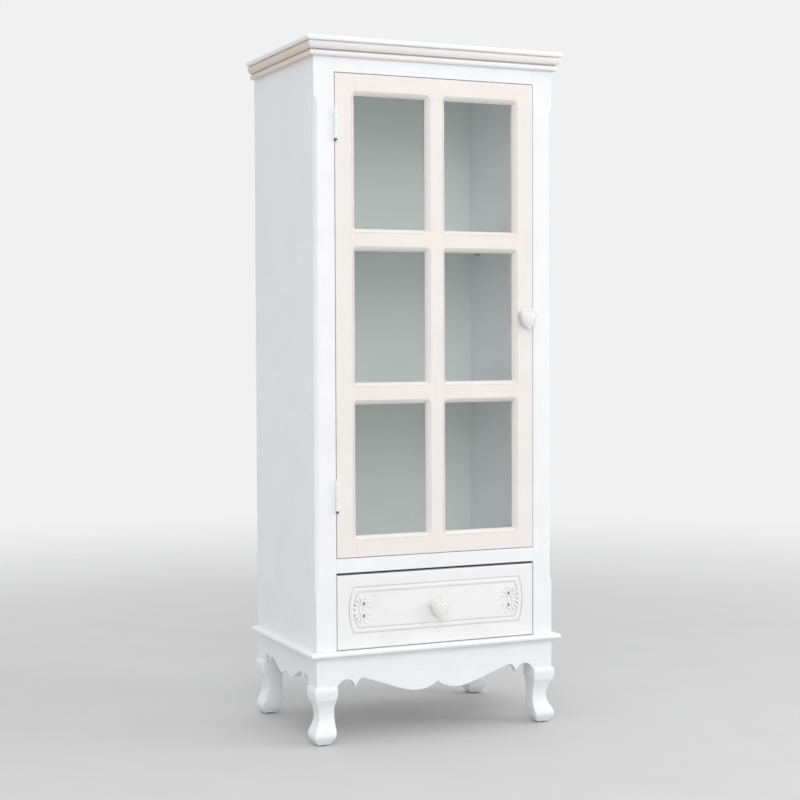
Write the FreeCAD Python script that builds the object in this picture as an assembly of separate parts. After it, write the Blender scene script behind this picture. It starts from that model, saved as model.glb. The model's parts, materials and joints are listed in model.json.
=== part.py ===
import FreeCAD, Part
import os
from math import sqrt

# Display cabinet: a painted case with one glazed door over one drawer, on short cabriole legs.
# Lengths are in millimetres. X runs to the right, Y to the back and Z up. The origin is on the
# floor under the middle of the whole object, knobs included.

# Overall sizes
body_width = 450.0
body_depth = 300.0
total_height = 1189.5

# Heights of the case, from the floor up; the door takes what they leave
pad_thickness = 2.0
leg_shoulder = 100.5
apron_height = 51.2
base_board_thickness = 8.0
drawer_foot_gap = 1.5
drawer_front_height = 126.0
drawer_head_gap = 4.3
middle_rail_height = 24.5
door_gap = 2.0
top_rail_show = 25.8
crown_height = 23.0
top_board_thickness = 8.2

# Case boards
side_thickness = 15.0
carcass_board_thickness = 15.0
back_thickness = 5.0
back_rebate = 8.0
stile_width = 37.0
stile_thickness = 18.0
shelf_thickness = 12.0
shelf_setback = 8.0
shelf_end_gap = 0.5
top_overhang = 15.0
base_overhang = 13.0
nose_top_share = 0.5
nose_under_share = 0.3
cap_edge_share = 0.3

# Stopped chamfer on the front corners of the case
chamfer_depth = 4.2
chamfer_stop_length = 10.0
chamfer_stop_share = 0.5
chamfer_bottom_height = 252.5
chamfer_top_drop = 65.8

# Crown moulding: points of the bead, the quirk above it and the ovolo, as shares of its
# projection from the case and of its height
crown_projection = 12.0
crown_bead_shares = [(0.25, 0.0), (0.61, 0.14), (0.62, 0.34)]
crown_quirk_shares = [(0.46, 0.37), (0.46, 0.41)]
crown_ovolo_shares = [(0.70, 0.44), (0.97, 0.62), (1.0, 0.92)]

# Base: aprons, legs and what holds them
apron_thickness = 15.0
front_swag_rise = 10.0
front_swag_drop = 19.5
side_swag_rise = 15.0
side_swag_drop = 4.0
# The scalloped lower edge, from a short lip at the leg to the middle: shares of half the span between the
# legs, and of the height from the top of the notches down to the lowest point
lip_share = 0.99
front_notch_shares = [(0.914, 0.0), (0.823, 0.49)]
front_swag_shares = [(0.823, 0.49), (0.801, 0.22), (0.762, 0.0), (0.711, 0.05), (0.642, 0.203), (0.517, 0.475),
                     (0.384, 0.78), (0.224, 1.0), (0.112, 0.93), (0.0, 0.576)]
side_notch_shares = [(0.875, 0.0), (0.75, 0.6)]
side_swag_shares = [(0.75, 0.6), (0.72, 0.28), (0.655, 0.0), (0.6, 0.07), (0.54, 0.22), (0.45, 0.48),
                    (0.36, 0.78), (0.24, 1.0), (0.11, 0.93), (0.0, 0.576)]
leg_width = 37.5
# The leg's outline: shares of its width, from the face of the case inwards, and of its length
leg_knee_shares = [(0.0, 1.0), (-0.09, 0.965), (-0.115, 0.88), (-0.075, 0.775)]
leg_shank_shares = [(-0.075, 0.775), (0.08, 0.665), (0.18, 0.5), (0.07, 0.31), (-0.1, 0.18), (-0.105, 0.12)]
leg_sole_shares = [(0.085, 0.0), (0.7, 0.0)]
leg_inner_shares = [(0.88, 0.105), (0.945, 0.242), (0.925, 0.5), (0.945, 0.72), (1.0, 0.84)]
post_chamfer = 8.0
brace_thickness = 15.0
brace_height = 28.0
bolt_radius = 3.0
bolt_bite = 14.0
bolt_head_radius = 5.5
bolt_head_height = 4.5
pad_radius = 8.0

# Door
door_thickness = 18.0
door_stile_width = 36.0
door_rail_height = 35.0
door_bar_width = 37.0
door_bar_thickness = 10.0
window_columns = 2
window_rows = 3
window_bevel = 7.0
window_land = 2.0
window_corner_radius = 1.0
glass_thickness = 3.0
glass_lip = 8.0
glass_gap = 1.0
glass_bead_width = 7.0

# Hinges
hinge_height = 50.0
hinge_leaf_depth = 15.0
leaf_thickness = 0.95
leaf_gap = 0.3
knuckle_count = 5
knuckle_radius = 3.2
knuckle_gap = 0.3
hinge_pin_radius = 1.5
finial_collar_radius = 2.5
finial_collar_height = 1.0
finial_ball_radius = 2.2
upper_hinge_drop = 84.0
lower_hinge_rise = 104.5
hinge_screw_shares = [(0.55, -0.36), (0.7, 0.0), (0.55, 0.36)]
hinge_screw_length = 15.0
hinge_screw_radius = 1.3
hinge_screw_head_radius = 2.4
hinge_screw_head_share = 0.55

# Heart knobs: half of the outline from the notch to the tip, as shares of width and height,
# and the size of the outline along the thickness, from the stem to the front
knob_width = 33.0
knob_height = 36.0
knob_thickness = 16.0
knob_stem_length = 4.0
knob_stem_radius = 6.5
knob_lobe_shares = [(0.0, 0.42), (0.27, 0.5), (0.5, 0.17)]
knob_flank_shares = [(0.5, 0.17), (0.35, -0.2), (0.0, -0.5)]
knob_section_shares = [(0.0, 0.62), (0.28, 0.96), (0.45, 1.0), (0.7, 0.95), (1.0, 0.72)]
door_knob_inset = 14.0
door_knob_drop = 4.2
drawer_knob_drop = 3.6
knob_screw_radius = 2.0
knob_screw_bite = 6.0
knob_screw_head_radius = 4.0
knob_screw_head_height = 2.0

# Magnet catch on the knob side of the door
catch_drop = 60.0
catch_height = 14.0
catch_depth = 12.0
catch_reach = 17.0
catch_gap = 0.3
strike_thickness = 0.8
strike_width = 13.0
catch_screw_spacing = 7.0
catch_screw_bite = 9.0

# Drawer
drawer_side_gap = 2.0
drawer_front_thickness = 18.0
drawer_box_inset = 2.0
drawer_board_thickness = 10.0
drawer_side_drop = 30.0
drawer_back_drop = 6.0
drawer_rear_space = 20.0
drawer_housing_depth = 8.0
drawer_bottom_thickness = 4.0
drawer_bottom_rise = 8.0
drawer_groove_depth = 5.0
drawer_line_margin = 27.0
drawer_line_top_margin = 20.2
drawer_line_bottom_margin = 25.2
drawer_line_width = 10.8
drawer_line_depth = 1.2
drawer_line_bow = 7.0
runner_thickness = 6.0
runner_width = 17.0
runner_front_gap = 1.0
runner_slide_gap = 0.3
guide_height = 20.0
guide_gap = 0.5
stop_length = 12.0

# Small fasteners
dowel_radius = 3.0
dowel_bite = 15.0
dowel_pair_share = 0.25
shelf_pin_radius = 2.5
shelf_pin_bite = 9.0
shelf_pin_reach = 9.0
shelf_pin_inset = 40.0
nail_radius = 0.8
nail_head_radius = 2.2
nail_head_height = 0.8
nail_length = 16.0
nails_per_side = 6
nails_per_board = 3
screw_radius = 1.8
screw_head_radius = 3.4
screw_head_height = 2.4
screw_bite = 10.0
screw_count = 3
press_gap = 0.05
hole_end_gap = 0.5
overrun = 1.0
tolerance = 0.001

# Planes of the case that the pieces share
half_width = body_width / 2
inner_x = half_width - side_thickness
opening_x = half_width - stile_width
knob_reach = knob_stem_length + knob_thickness
face_y = (knob_reach - body_depth) / 2
back_y = face_y + body_depth
middle_y = (face_y + back_y) / 2
frame_back_y = face_y + stile_thickness
lining_y = back_y - back_thickness
base_under_z = leg_shoulder + apron_height
base_top_z = base_under_z + base_board_thickness
drawer_low_z = base_top_z + drawer_foot_gap
drawer_high_z = drawer_low_z + drawer_front_height
rail_low_z = drawer_high_z + drawer_head_gap
rail_high_z = rail_low_z + middle_rail_height
cap_under_z = total_height - top_board_thickness
crown_low_z = cap_under_z - crown_height
top_rail_low_z = crown_low_z - top_rail_show

# Planes of the door
hinge_gap = 2 * leaf_thickness + leaf_gap
door_left_x = -opening_x + hinge_gap
door_right_x = opening_x - door_gap
door_low_z = rail_high_z + door_gap
door_high_z = top_rail_low_z - door_gap
door_back_y = face_y + door_thickness
glass_front_y = face_y + door_bar_thickness
glass_back_y = glass_front_y + glass_thickness
window_left_x = door_left_x + door_stile_width
window_right_x = door_right_x - door_stile_width
window_low_z = door_low_z + door_rail_height
window_high_z = door_high_z - door_rail_height
window_width = (window_right_x - window_left_x + door_bar_width) / window_columns - door_bar_width
window_height = (window_high_z - window_low_z + door_bar_width) / window_rows - door_bar_width
mullion_left_x = window_left_x + window_width
mullion_right_x = mullion_left_x + door_bar_width
bar_low_zs = [window_low_z + window_height + row * (window_height + door_bar_width)
              for row in range(window_rows - 1)]
door_knob_x = door_right_x - door_knob_inset
door_knob_z = (door_low_z + door_high_z) / 2 - door_knob_drop
catch_z = door_knob_z - catch_drop

# Hinge pin line
pin_x = -opening_x + hinge_gap / 2
pin_y = face_y - knuckle_radius - leaf_gap
hinge_zs = [lower_hinge_rise + door_low_z, door_high_z - upper_hinge_drop]

# Planes of the drawer
drawer_half = opening_x - drawer_side_gap
drawer_front_back_y = face_y + drawer_front_thickness
box_half = drawer_half - drawer_box_inset
box_inner = box_half - drawer_board_thickness
runner_high_z = base_top_z + runner_thickness
box_low_z = runner_high_z + runner_slide_gap
box_high_z = drawer_high_z - drawer_side_drop
box_rear_y = lining_y - drawer_rear_space
bottom_low_z = box_low_z + drawer_bottom_rise
bottom_high_z = bottom_low_z + drawer_bottom_thickness
drawer_knob_z = (drawer_low_z + drawer_high_z) / 2 - drawer_knob_drop


def point(x, y, z):
    return FreeCAD.Vector(x, y, z)


def block(x0, x1, y0, y1, z0, z1):
    """A board between two corners."""
    return Part.makeBox(x1 - x0, y1 - y0, z1 - z0, point(x0, y0, z0))


def rod(radius, start, end):
    """A round bar from one point to another."""
    line = end.sub(start)
    return Part.makeCylinder(radius, line.Length, start, line)


def run(points):
    """Straight edges through points, in order."""
    return [Part.LineSegment(a, b).toShape() for a, b in zip(points, points[1:])]


def arc(start, middle, end):
    return Part.Arc(start, middle, end).toShape()


def curve(points):
    """One smooth edge through points."""
    spline = Part.BSplineCurve()
    spline.interpolate(points)
    return spline.toShape()


def prism(edges, direction):
    """The solid that a closed outline sweeps along a direction."""
    return Part.Face(Part.Wire(edges)).extrude(direction)


def polygon_prism(points, direction):
    return prism(run(points + points[:1]), direction)


def mirrored(shape):
    """The right-hand twin of a left-hand piece."""
    return shape.mirror(point(0, 0, 0), point(1, 0, 0))


def fastener(head, tip, shank, head_radius, head_height, gap=0):
    """A nail or screw with a flush head; a gap gives the hole that it sits in."""
    way = tip.sub(head).normalize()
    end = tip.add(way * hole_end_gap) if gap else tip
    body = rod(shank + gap, head, end)
    top = rod(head_radius + gap, head, head.add(way * head_height))
    return body.fuse(top).removeSplitter()


def pinned(board, holes):
    """A board with its holes drilled."""
    return board.cut(holes) if holes else board


def save(name, *solids):
    """Writes one sub-part: a solid, or a group of like solids."""
    shape = solids[0] if len(solids) == 1 else Part.makeCompound(list(solids))
    shape.exportStep("parts/" + name + ".step")


def evenly(low, high, count):
    """Places spread evenly, half a step in from each end."""
    step = (high - low) / count
    return [low + step * (place + 0.5) for place in range(count)]


# Case

def nail(x, z, gap=0):
    return fastener(point(x, back_y, z), point(x, back_y - nail_length, z),
                    nail_radius, nail_head_radius, nail_head_height, gap)


def nail_places():
    """Nails into the two sides, then into the carcass top and the cabinet floor."""
    side_x = inner_x + back_rebate / 2
    places = [(side * side_x, z) for side in (-1, 1)
              for z in evenly(base_top_z, cap_under_z, nails_per_side)]
    board_zs = [cap_under_z - carcass_board_thickness / 2, rail_high_z - carcass_board_thickness / 2]
    places += [(x, z) for z in board_zs for x in evenly(-inner_x, inner_x, nails_per_board)]
    return places


def nail_holes():
    return [nail(x, z, press_gap) for x, z in nail_places()]


def shelf_lows():
    """Undersides of the shelves, which hide behind the cross bars of the door."""
    return [low + (door_bar_width - shelf_thickness) / 2 for low in bar_low_zs]


def shelf_front_y():
    return max(door_back_y, frame_back_y) + shelf_setback


def shelf_pin(side, y, z, gap=0):
    inside = side * (inner_x - shelf_pin_reach)
    outside = side * (inner_x + shelf_pin_bite + gap)
    return rod(shelf_pin_radius + gap, point(inside, y, z), point(outside, y, z))


def shelf_pins(side, gap=0):
    ys = [shelf_front_y() + shelf_pin_inset, lining_y - shelf_pin_inset]
    zs = [low - shelf_pin_radius - press_gap for low in shelf_lows()]
    return [shelf_pin(side, y, z, gap) for z in zs for y in ys]


def base_screw(side, y, gap=0):
    x = side * (half_width - side_thickness / 2)
    return fastener(point(x, y, base_under_z), point(x, y, base_top_z + screw_bite),
                    screw_radius, screw_head_radius, screw_head_height, gap)


def base_screws(side, gap=0):
    return [base_screw(side, y, gap) for y in evenly(frame_back_y, lining_y, screw_count)]


def guide_x():
    """Inner face of the drawer guides."""
    return box_half + guide_gap


def runner_screw(side, y, gap=0):
    z = runner_high_z + guide_height / 2
    return fastener(point(side * guide_x(), y, z), point(side * (inner_x + screw_bite), y, z),
                    screw_radius, screw_head_radius, screw_head_height, gap)


def runner_screws(side, gap=0):
    return [runner_screw(side, y, gap) for y in evenly(frame_back_y, box_rear_y, screw_count)]


def catch_screw(z, gap=0):
    x = (opening_x + inner_x) / 2
    head_y = frame_back_y + catch_depth
    return fastener(point(x, head_y, z), point(x, frame_back_y - catch_screw_bite, z),
                    hinge_screw_radius, hinge_screw_head_radius, hinge_screw_radius, gap)


def catch_screws(gap=0):
    return [catch_screw(catch_z + way * catch_screw_spacing / 2, gap) for way in (-1, 1)]


def side_panel(side):
    panel = block(-half_width, -inner_x, frame_back_y, back_y, base_top_z, cap_under_z)
    rebate = block(-inner_x - back_rebate, -inner_x + overrun, lining_y, back_y + overrun,
                   base_top_z - overrun, cap_under_z + overrun)
    panel = panel.cut(rebate)
    if side > 0:
        panel = mirrored(panel)
    holes = shelf_pins(side, press_gap) + base_screws(side, press_gap) + runner_screws(side, press_gap)
    holes += [nail(x, z, press_gap) for x, z in nail_places() if side * x > inner_x]
    return pinned(panel, holes)


def back_panel():
    edge = inner_x + back_rebate - press_gap
    return pinned(block(-edge, edge, lining_y, back_y, base_top_z, cap_under_z), nail_holes())


def carcass_board(low_z, high_z):
    board = block(-inner_x, inner_x, frame_back_y, lining_y, low_z, high_z)
    return pinned(board, [nail(x, z, press_gap) for x, z in nail_places() if low_z < z < high_z])


def shelf(low_z):
    edge = inner_x - shelf_end_gap
    return block(-edge, edge, shelf_front_y(), lining_y - shelf_end_gap, low_z, low_z + shelf_thickness)


def nosed_board(overhang, low_z, high_z, top_radius, under_radius):
    """A board that overhangs the front and the sides, with rounded edges there."""
    edge = half_width + overhang
    board = block(-edge, edge, face_y - overhang, back_y, low_z, high_z)
    for level, radius in ((high_z, top_radius), (low_z, under_radius)):
        edges = [e for e in board.Edges if abs(e.BoundBox.ZMax - level) < tolerance
                 and abs(e.BoundBox.ZMin - level) < tolerance
                 and e.CenterOfMass.y < back_y - tolerance]
        board = board.makeFillet(radius, edges)
    return board


def base_board():
    thick = base_board_thickness
    board = nosed_board(base_overhang, base_under_z, base_top_z, thick * nose_top_share,
                        thick * nose_under_share)
    return pinned(board, base_screws(-1, press_gap) + base_screws(1, press_gap))


def top_board():
    radius = top_board_thickness * cap_edge_share
    return nosed_board(top_overhang, cap_under_z, total_height, radius, radius)


# Face frame

def rail_dowel(side, low_z, high_z, y, joint_x, way, gap=0):
    """One dowel of a pair across a joint between a rail and a stile."""
    z = (low_z + high_z) / 2 + way * (high_z - low_z) * dowel_pair_share
    ends = [side * (joint_x + step * (dowel_bite + (hole_end_gap if gap else 0))) for step in (-1, 1)]
    return rod(dowel_radius + gap, point(ends[0], y, z), point(ends[1], y, z))


def frame_dowels(side, gap=0):
    rails = [(rail_low_z, rail_high_z), (top_rail_low_z, cap_under_z)]
    y = face_y + stile_thickness / 2
    return [rail_dowel(side, low, high, y, opening_x, way, gap)
            for low, high in rails for way in (-1, 1)]


def corner_chamfer():
    """What the stopped chamfer takes off the left front corner, with curved stops."""
    low = chamfer_bottom_height
    high = crown_low_z - chamfer_top_drop
    corner = point(-half_width, face_y, 0)
    inward = point(1, 1, 0).normalize()
    across = point(1, -1, 0).normalize()

    def at(depth, z):
        return corner.add(inward * depth).add(point(0, 0, z)).sub(across * stile_thickness)

    outside = -chamfer_depth - overrun
    midway = chamfer_depth * chamfer_stop_share
    half = chamfer_stop_length / 2
    full_low = low + chamfer_stop_length
    full_high = high - chamfer_stop_length
    edges = run([at(outside, low), at(0, low)])
    edges += [curve([at(0, low), at(midway, low + half), at(chamfer_depth, full_low)])]
    edges += run([at(chamfer_depth, full_low), at(chamfer_depth, full_high)])
    edges += [curve([at(chamfer_depth, full_high), at(midway, high - half), at(0, high)])]
    edges += run([at(0, high), at(outside, high), at(outside, low)])
    return prism(edges, across * (2 * stile_thickness))


def stile(side):
    board = block(-half_width, -opening_x, face_y, frame_back_y, base_top_z, cap_under_z)
    board = board.cut(corner_chamfer())
    if side > 0:
        board = mirrored(board)
    holes = frame_dowels(side, press_gap)
    holes += hinge_screws(-1, press_gap) if side < 0 else catch_screws(press_gap)
    return pinned(board, holes)


def rail(low_z, high_z):
    board = block(-opening_x, opening_x, face_y, frame_back_y, low_z, high_z)
    return pinned(board, frame_dowels(-1, press_gap) + frame_dowels(1, press_gap))


# Crown moulding

def crown_profile(at):
    """The moulding's outline; at gives the place of a share of projection and of height."""
    bead = [at(*share) for share in crown_bead_shares]
    quirk = [at(*share) for share in crown_quirk_shares]
    ovolo = [at(*share) for share in crown_ovolo_shares]
    edges = run([at(0, 0), bead[0]]) + [arc(*bead)]
    edges += run([bead[-1]] + quirk + [ovolo[0]]) + [arc(*ovolo)]
    return edges + run([ovolo[-1], at(1, 1), at(0, 1), at(0, 0)])


def crown_front():
    left = -half_width - crown_projection

    def at(out, up):
        return point(left, face_y - out * crown_projection, crown_low_z + up * crown_height)

    strip = prism(crown_profile(at), point(-2 * left, 0, 0))
    near = face_y - crown_projection
    mitred = [point(-half_width, face_y, crown_low_z), point(half_width, face_y, crown_low_z),
              point(-left, near, crown_low_z), point(left, near, crown_low_z)]
    return strip.common(polygon_prism(mitred, point(0, 0, crown_height)))


def crown_left():
    near = face_y - crown_projection
    left = -half_width - crown_projection

    def at(out, up):
        return point(-half_width - out * crown_projection, near, crown_low_z + up * crown_height)

    strip = prism(crown_profile(at), point(0, back_y - near, 0))
    mitred = [point(-half_width, face_y, crown_low_z), point(-half_width, back_y, crown_low_z),
              point(left, back_y, crown_low_z), point(left, near, crown_low_z)]
    return strip.common(polygon_prism(mitred, point(0, 0, crown_height)))


# Base

def scalloped_edge(at, span, rise, drop, shares):
    """Half of an apron's lower edge, from the leg to the middle; at places a point."""
    top = leg_shoulder + rise
    fall = rise + drop
    notch, swag = [[at(u * span, top - v * fall) for u, v in part] for part in shares]
    lip = at(lip_share * span, leg_shoulder)
    return run([at(span, leg_shoulder), lip]) + [arc(lip, *notch), curve(swag)]


def apron(at, half_length, span, rise, drop, shares, direction):
    """A scalloped board, even about its middle; at places a point along and up."""
    def other(u, z):
        return at(-u, z)

    edges = run([at(half_length, base_under_z), at(half_length, leg_shoulder), at(span, leg_shoulder)])
    edges += scalloped_edge(at, span, rise, drop, shares)
    edges += scalloped_edge(other, span, rise, drop, shares)[::-1]
    edges += run([other(span, leg_shoulder), other(half_length, leg_shoulder),
                  other(half_length, base_under_z), at(half_length, base_under_z)])
    return prism(Part.__sortEdges__(edges), direction)


def front_apron():
    def at(u, z):
        return point(u, face_y, z)

    return apron(at, half_width, half_width - leg_width, front_swag_rise, front_swag_drop,
                 (front_notch_shares, front_swag_shares), point(0, apron_thickness, 0))


def left_apron():
    def at(u, z):
        return point(-half_width, middle_y + u, z)

    half_length = body_depth / 2 - apron_thickness
    return apron(at, half_length, body_depth / 2 - leg_width, side_swag_rise, side_swag_drop,
                 (side_notch_shares, side_swag_shares), point(apron_thickness, 0, 0))


def back_rail():
    return block(-half_width, half_width, back_y - apron_thickness, back_y, leg_shoulder, base_under_z)


def corner_point(front, across, along, z):
    """A place in a left corner of the base: across from the side face, along from the end face."""
    y = face_y + along if front else back_y - along
    return point(-half_width + across, y, z)


def leg_height(share):
    return pad_thickness + share * (leg_shoulder - pad_thickness)


def leg_outline(at, curved):
    """The leg seen from one side; at places a distance from the face of the case and a height."""
    knee = [at(u * leg_width, leg_height(v)) for u, v in leg_knee_shares]
    shank = [at(u * leg_width, leg_height(v)) for u, v in leg_shank_shares]
    inner = [at(u * leg_width, leg_height(v)) for u, v in leg_inner_shares]
    sole = [at(u * leg_width, leg_height(v)) for u, v in leg_sole_shares]
    inside_top = at(leg_width, leg_shoulder)
    if curved:
        edges = [curve(knee), curve(shank)] + run([shank[-1], sole[0]])
    else:
        sole[0] = at(0, pad_thickness)
        edges = run([knee[0], sole[0]])
    edges += run([sole[0], sole[1], inner[0]]) + [curve(inner)]
    return edges + run([inner[-1], inside_top, knee[0]])


def leg_bolt(front, gap=0):
    """A bolt through the corner brace into the leg post, along the corner's diagonal."""
    face = leg_width - post_chamfer / 2
    inside = face + brace_thickness / sqrt(2)
    z = base_under_z - brace_height / 2
    tip = face - (bolt_bite + (hole_end_gap if gap else 0)) / sqrt(2)
    shank = rod(bolt_radius + gap, corner_point(front, tip, tip, z), corner_point(front, inside, inside, z))
    far = inside + bolt_head_height / sqrt(2)
    head = rod(bolt_head_radius, corner_point(front, inside, inside, z), corner_point(front, far, far, z))
    return shank if gap else shank.fuse(head).removeSplitter()


def left_leg(front):
    reach = 2 * leg_width

    def across_at(u, z):
        return corner_point(front, u, -leg_width, z)

    def along_at(u, z):
        return corner_point(front, -leg_width, u, z)

    way = 1 if front else -1
    seen_front = prism(leg_outline(across_at, True), point(0, way * (reach + leg_width), 0))
    seen_side = prism(leg_outline(along_at, front), point(reach + leg_width, 0, 0))
    near = apron_thickness
    far = leg_width
    cut = leg_width - post_chamfer
    corners = [(near, near), (far, near), (far, cut), (cut, far), (near, far)]
    post = polygon_prism([corner_point(front, u, v, leg_shoulder) for u, v in corners],
                         point(0, 0, apron_height))
    leg = seen_front.common(seen_side).fuse(post).removeSplitter()
    return leg.cut(leg_bolt(front, press_gap))


def left_brace(front):
    near = apron_thickness
    first = 2 * leg_width - post_chamfer
    second = first + brace_thickness * sqrt(2)
    corners = [(near, first - near), (first - near, near), (second - near, near), (near, second - near)]
    low_z = base_under_z - brace_height
    brace = polygon_prism([corner_point(front, u, v, low_z) for u, v in corners], point(0, 0, brace_height))
    return brace.cut(leg_bolt(front, press_gap))


def left_pad(front):
    middle = leg_width * (leg_sole_shares[0][0] + leg_sole_shares[1][0]) / 2
    low = corner_point(front, middle, middle, 0)
    return rod(pad_radius, low, low.add(point(0, 0, pad_thickness)))


# Door

def window_wire(x0, x1, z0, z1, radius, y):
    """A rectangle with round corners, standing across the door at one depth."""
    def corner(cx, cz, sx, sz):
        slant = radius / sqrt(2)
        along = [point(cx + sx * radius, y, cz), point(cx + sx * slant, y, cz + sz * slant),
                 point(cx, y, cz + sz * radius)]
        return along if sx * sz > 0 else along[::-1]

    left, right, low, high = x0 + radius, x1 - radius, z0 + radius, z1 - radius
    corners = [corner(right, high, 1, 1), corner(left, high, -1, 1),
               corner(left, low, -1, -1), corner(right, low, 1, -1)]
    edges = []
    for place, points in enumerate(corners):
        following = corners[(place + 1) % len(corners)]
        edges += [arc(*points)] + run([points[-1], following[0]])
    return Part.Wire(edges)


def window_cut(x0, z0):
    """What is cut away for one window: the bevel at the front and the straight way behind it."""
    x1 = x0 + window_width
    z1 = z0 + window_height
    bevel_y = glass_front_y - window_land
    wide = window_bevel
    outer = window_wire(x0 - wide, x1 + wide, z0 - wide, z1 + wide, window_corner_radius + wide, face_y)
    inner = window_wire(x0, x1, z0, z1, window_corner_radius, bevel_y)
    bevel = Part.makeLoft([outer, inner], True, True)
    through = Part.Face(inner).extrude(point(0, door_back_y - bevel_y + overrun, 0))
    return bevel.fuse(through)


def rebate_box(margin, y0, y1):
    """The sunk place at the back of the door that the glass and its beads lie in."""
    lip = glass_lip - margin
    return block(window_left_x - lip, window_right_x + lip, y0, y1, window_low_z - lip, window_high_z + lip)


def door_frame():
    """The whole frame with its windows, before it is parted at its joints."""
    slab = block(door_left_x, door_right_x, face_y, door_back_y, door_low_z, door_high_z)
    cuts = [window_cut(window_left_x + column * (window_width + door_bar_width),
                       window_low_z + row * (window_height + door_bar_width))
            for column in range(window_columns) for row in range(window_rows)]
    return slab.cut(cuts).cut(rebate_box(0, glass_front_y, door_back_y + overrun))


def door_dowels(side, gap=0):
    joint_x = window_left_x if side < 0 else window_right_x
    y = (face_y + glass_front_y) / 2 + window_land / 2
    rails = [(door_low_z, window_low_z - window_bevel), (window_high_z + window_bevel, door_high_z)]
    return [rail_dowel(side, low, high, y, side * joint_x, way, gap)
            for low, high in rails for way in (-1, 1)]


def door_pieces():
    """Stiles, rails, mullion and cross bars, by name."""
    frame = door_frame()

    def part_of(x0, x1, z0, z1):
        return frame.common(block(x0, x1, face_y - overrun, door_back_y + overrun, z0, z1))

    left_x, right_x = window_left_x, window_right_x
    hinge_stile = part_of(door_left_x, left_x, door_low_z, door_high_z)
    knob_stile = part_of(right_x, door_right_x, door_low_z, door_high_z)
    dowels = door_dowels(-1, press_gap) + door_dowels(1, press_gap)
    knob_hole = knob_screw(door_knob_x, door_knob_z, door_back_y, press_gap)
    pieces = {
        "door_hinge_stile": pinned(hinge_stile, dowels + hinge_screws(1, press_gap)),
        "door_knob_stile": pinned(knob_stile, dowels + [knob_hole]),
        "door_bottom_rail": pinned(part_of(left_x, right_x, door_low_z, window_low_z), dowels),
        "door_top_rail": pinned(part_of(left_x, right_x, window_high_z, door_high_z), dowels),
        "door_mullion": part_of(mullion_left_x, mullion_right_x, window_low_z, window_high_z),
    }
    spans = [(left_x, mullion_left_x), (mullion_right_x, right_x)]
    bars = [part_of(x0, x1, low, low + door_bar_width) for low in bar_low_zs for x0, x1 in spans]
    pieces["door_cross_bars"] = Part.makeCompound(bars)
    return pieces


def door_glass():
    return rebate_box(glass_gap, glass_front_y, glass_back_y)


def glass_beads():
    """Four strips behind the glass; the level ones fit between the upright ones."""
    low_x, high_x = window_left_x - glass_lip, window_right_x + glass_lip
    low_z, high_z = window_low_z - glass_lip, window_high_z + glass_lip
    wide = glass_bead_width
    uprights = [(low_x, low_x + wide), (high_x - wide, high_x)]
    levels = [(low_z, low_z + wide), (high_z - wide, high_z)]
    strips = [block(x0, x1, glass_back_y, door_back_y, low_z, high_z) for x0, x1 in uprights]
    return strips + [block(low_x + wide, high_x - wide, glass_back_y, door_back_y, z0, z1)
                     for z0, z1 in levels]


# Hinges: side -1 is the half on the case, side 1 the half on the door

def leaf_x(side):
    """The two faces of a leaf: against the wood, and towards the other leaf."""
    wood = -opening_x if side < 0 else door_left_x
    return wood, wood - side * leaf_thickness


def hinge_screw(side, middle_z, share, gap=0):
    along, up = share
    wood, open_face = leaf_x(side)
    y = face_y + along * hinge_leaf_depth
    z = middle_z + up * hinge_height
    tip_x = wood + side * hinge_screw_length
    return fastener(point(open_face, y, z), point(tip_x, y, z), hinge_screw_radius,
                    hinge_screw_head_radius, leaf_thickness * hinge_screw_head_share, gap)


def hinge_screws(side, gap=0):
    return [hinge_screw(side, z, share, gap) for z in hinge_zs for share in hinge_screw_shares]


def hinge_leaf(side, middle_z):
    """A leaf in the gap of the door, with its knuckles round the pin in front of the face."""
    near_x, far_x = sorted(leaf_x(side))
    low_z = middle_z - hinge_height / 2
    leaf = block(near_x, far_x, face_y, face_y + hinge_leaf_depth, low_z, low_z + hinge_height)
    step = hinge_height / knuckle_count
    first = 0 if side < 0 else 1
    for place in range(first, knuckle_count, 2):
        z0 = low_z + place * step + (knuckle_gap / 2 if place else 0)
        z1 = low_z + (place + 1) * step - (knuckle_gap / 2 if place < knuckle_count - 1 else 0)
        barrel = rod(knuckle_radius, point(pin_x, pin_y, z0), point(pin_x, pin_y, z1))
        leaf = leaf.fuse([barrel, block(near_x, far_x, pin_y, face_y, z0, z1)])
    hole = rod(hinge_pin_radius + press_gap, point(pin_x, pin_y, low_z - overrun),
               point(pin_x, pin_y, low_z + hinge_height + overrun))
    screws = [hinge_screw(side, middle_z, share, press_gap) for share in hinge_screw_shares]
    return leaf.removeSplitter().cut([hole] + screws)


def hinge_pin(middle_z):
    """A pin with a collar and a small ball at each end."""
    half = hinge_height / 2
    pin = rod(hinge_pin_radius, point(pin_x, pin_y, middle_z - half), point(pin_x, pin_y, middle_z + half))
    for way in (-1, 1):
        end = middle_z + way * half
        top = end + way * finial_collar_height
        collar = rod(finial_collar_radius, point(pin_x, pin_y, end), point(pin_x, pin_y, top))
        ball = Part.makeSphere(finial_ball_radius, point(pin_x, pin_y, top + way * finial_collar_height))
        pin = pin.fuse([collar, ball])
    return pin.removeSplitter()


# Knobs

def heart_wire(x, z, size, y):
    """A heart seen from the front, with its point down; size scales it about its middle."""
    def place(side, share):
        return point(x + side * size * share[0] * knob_width, y, z + size * share[1] * knob_height)

    lobe = [arc(*[place(side, share) for share in knob_lobe_shares]) for side in (1, -1)]
    flank = [arc(*[place(side, share) for share in knob_flank_shares]) for side in (1, -1)]
    return Part.Wire([lobe[0], flank[0], flank[1], lobe[1]])


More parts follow.
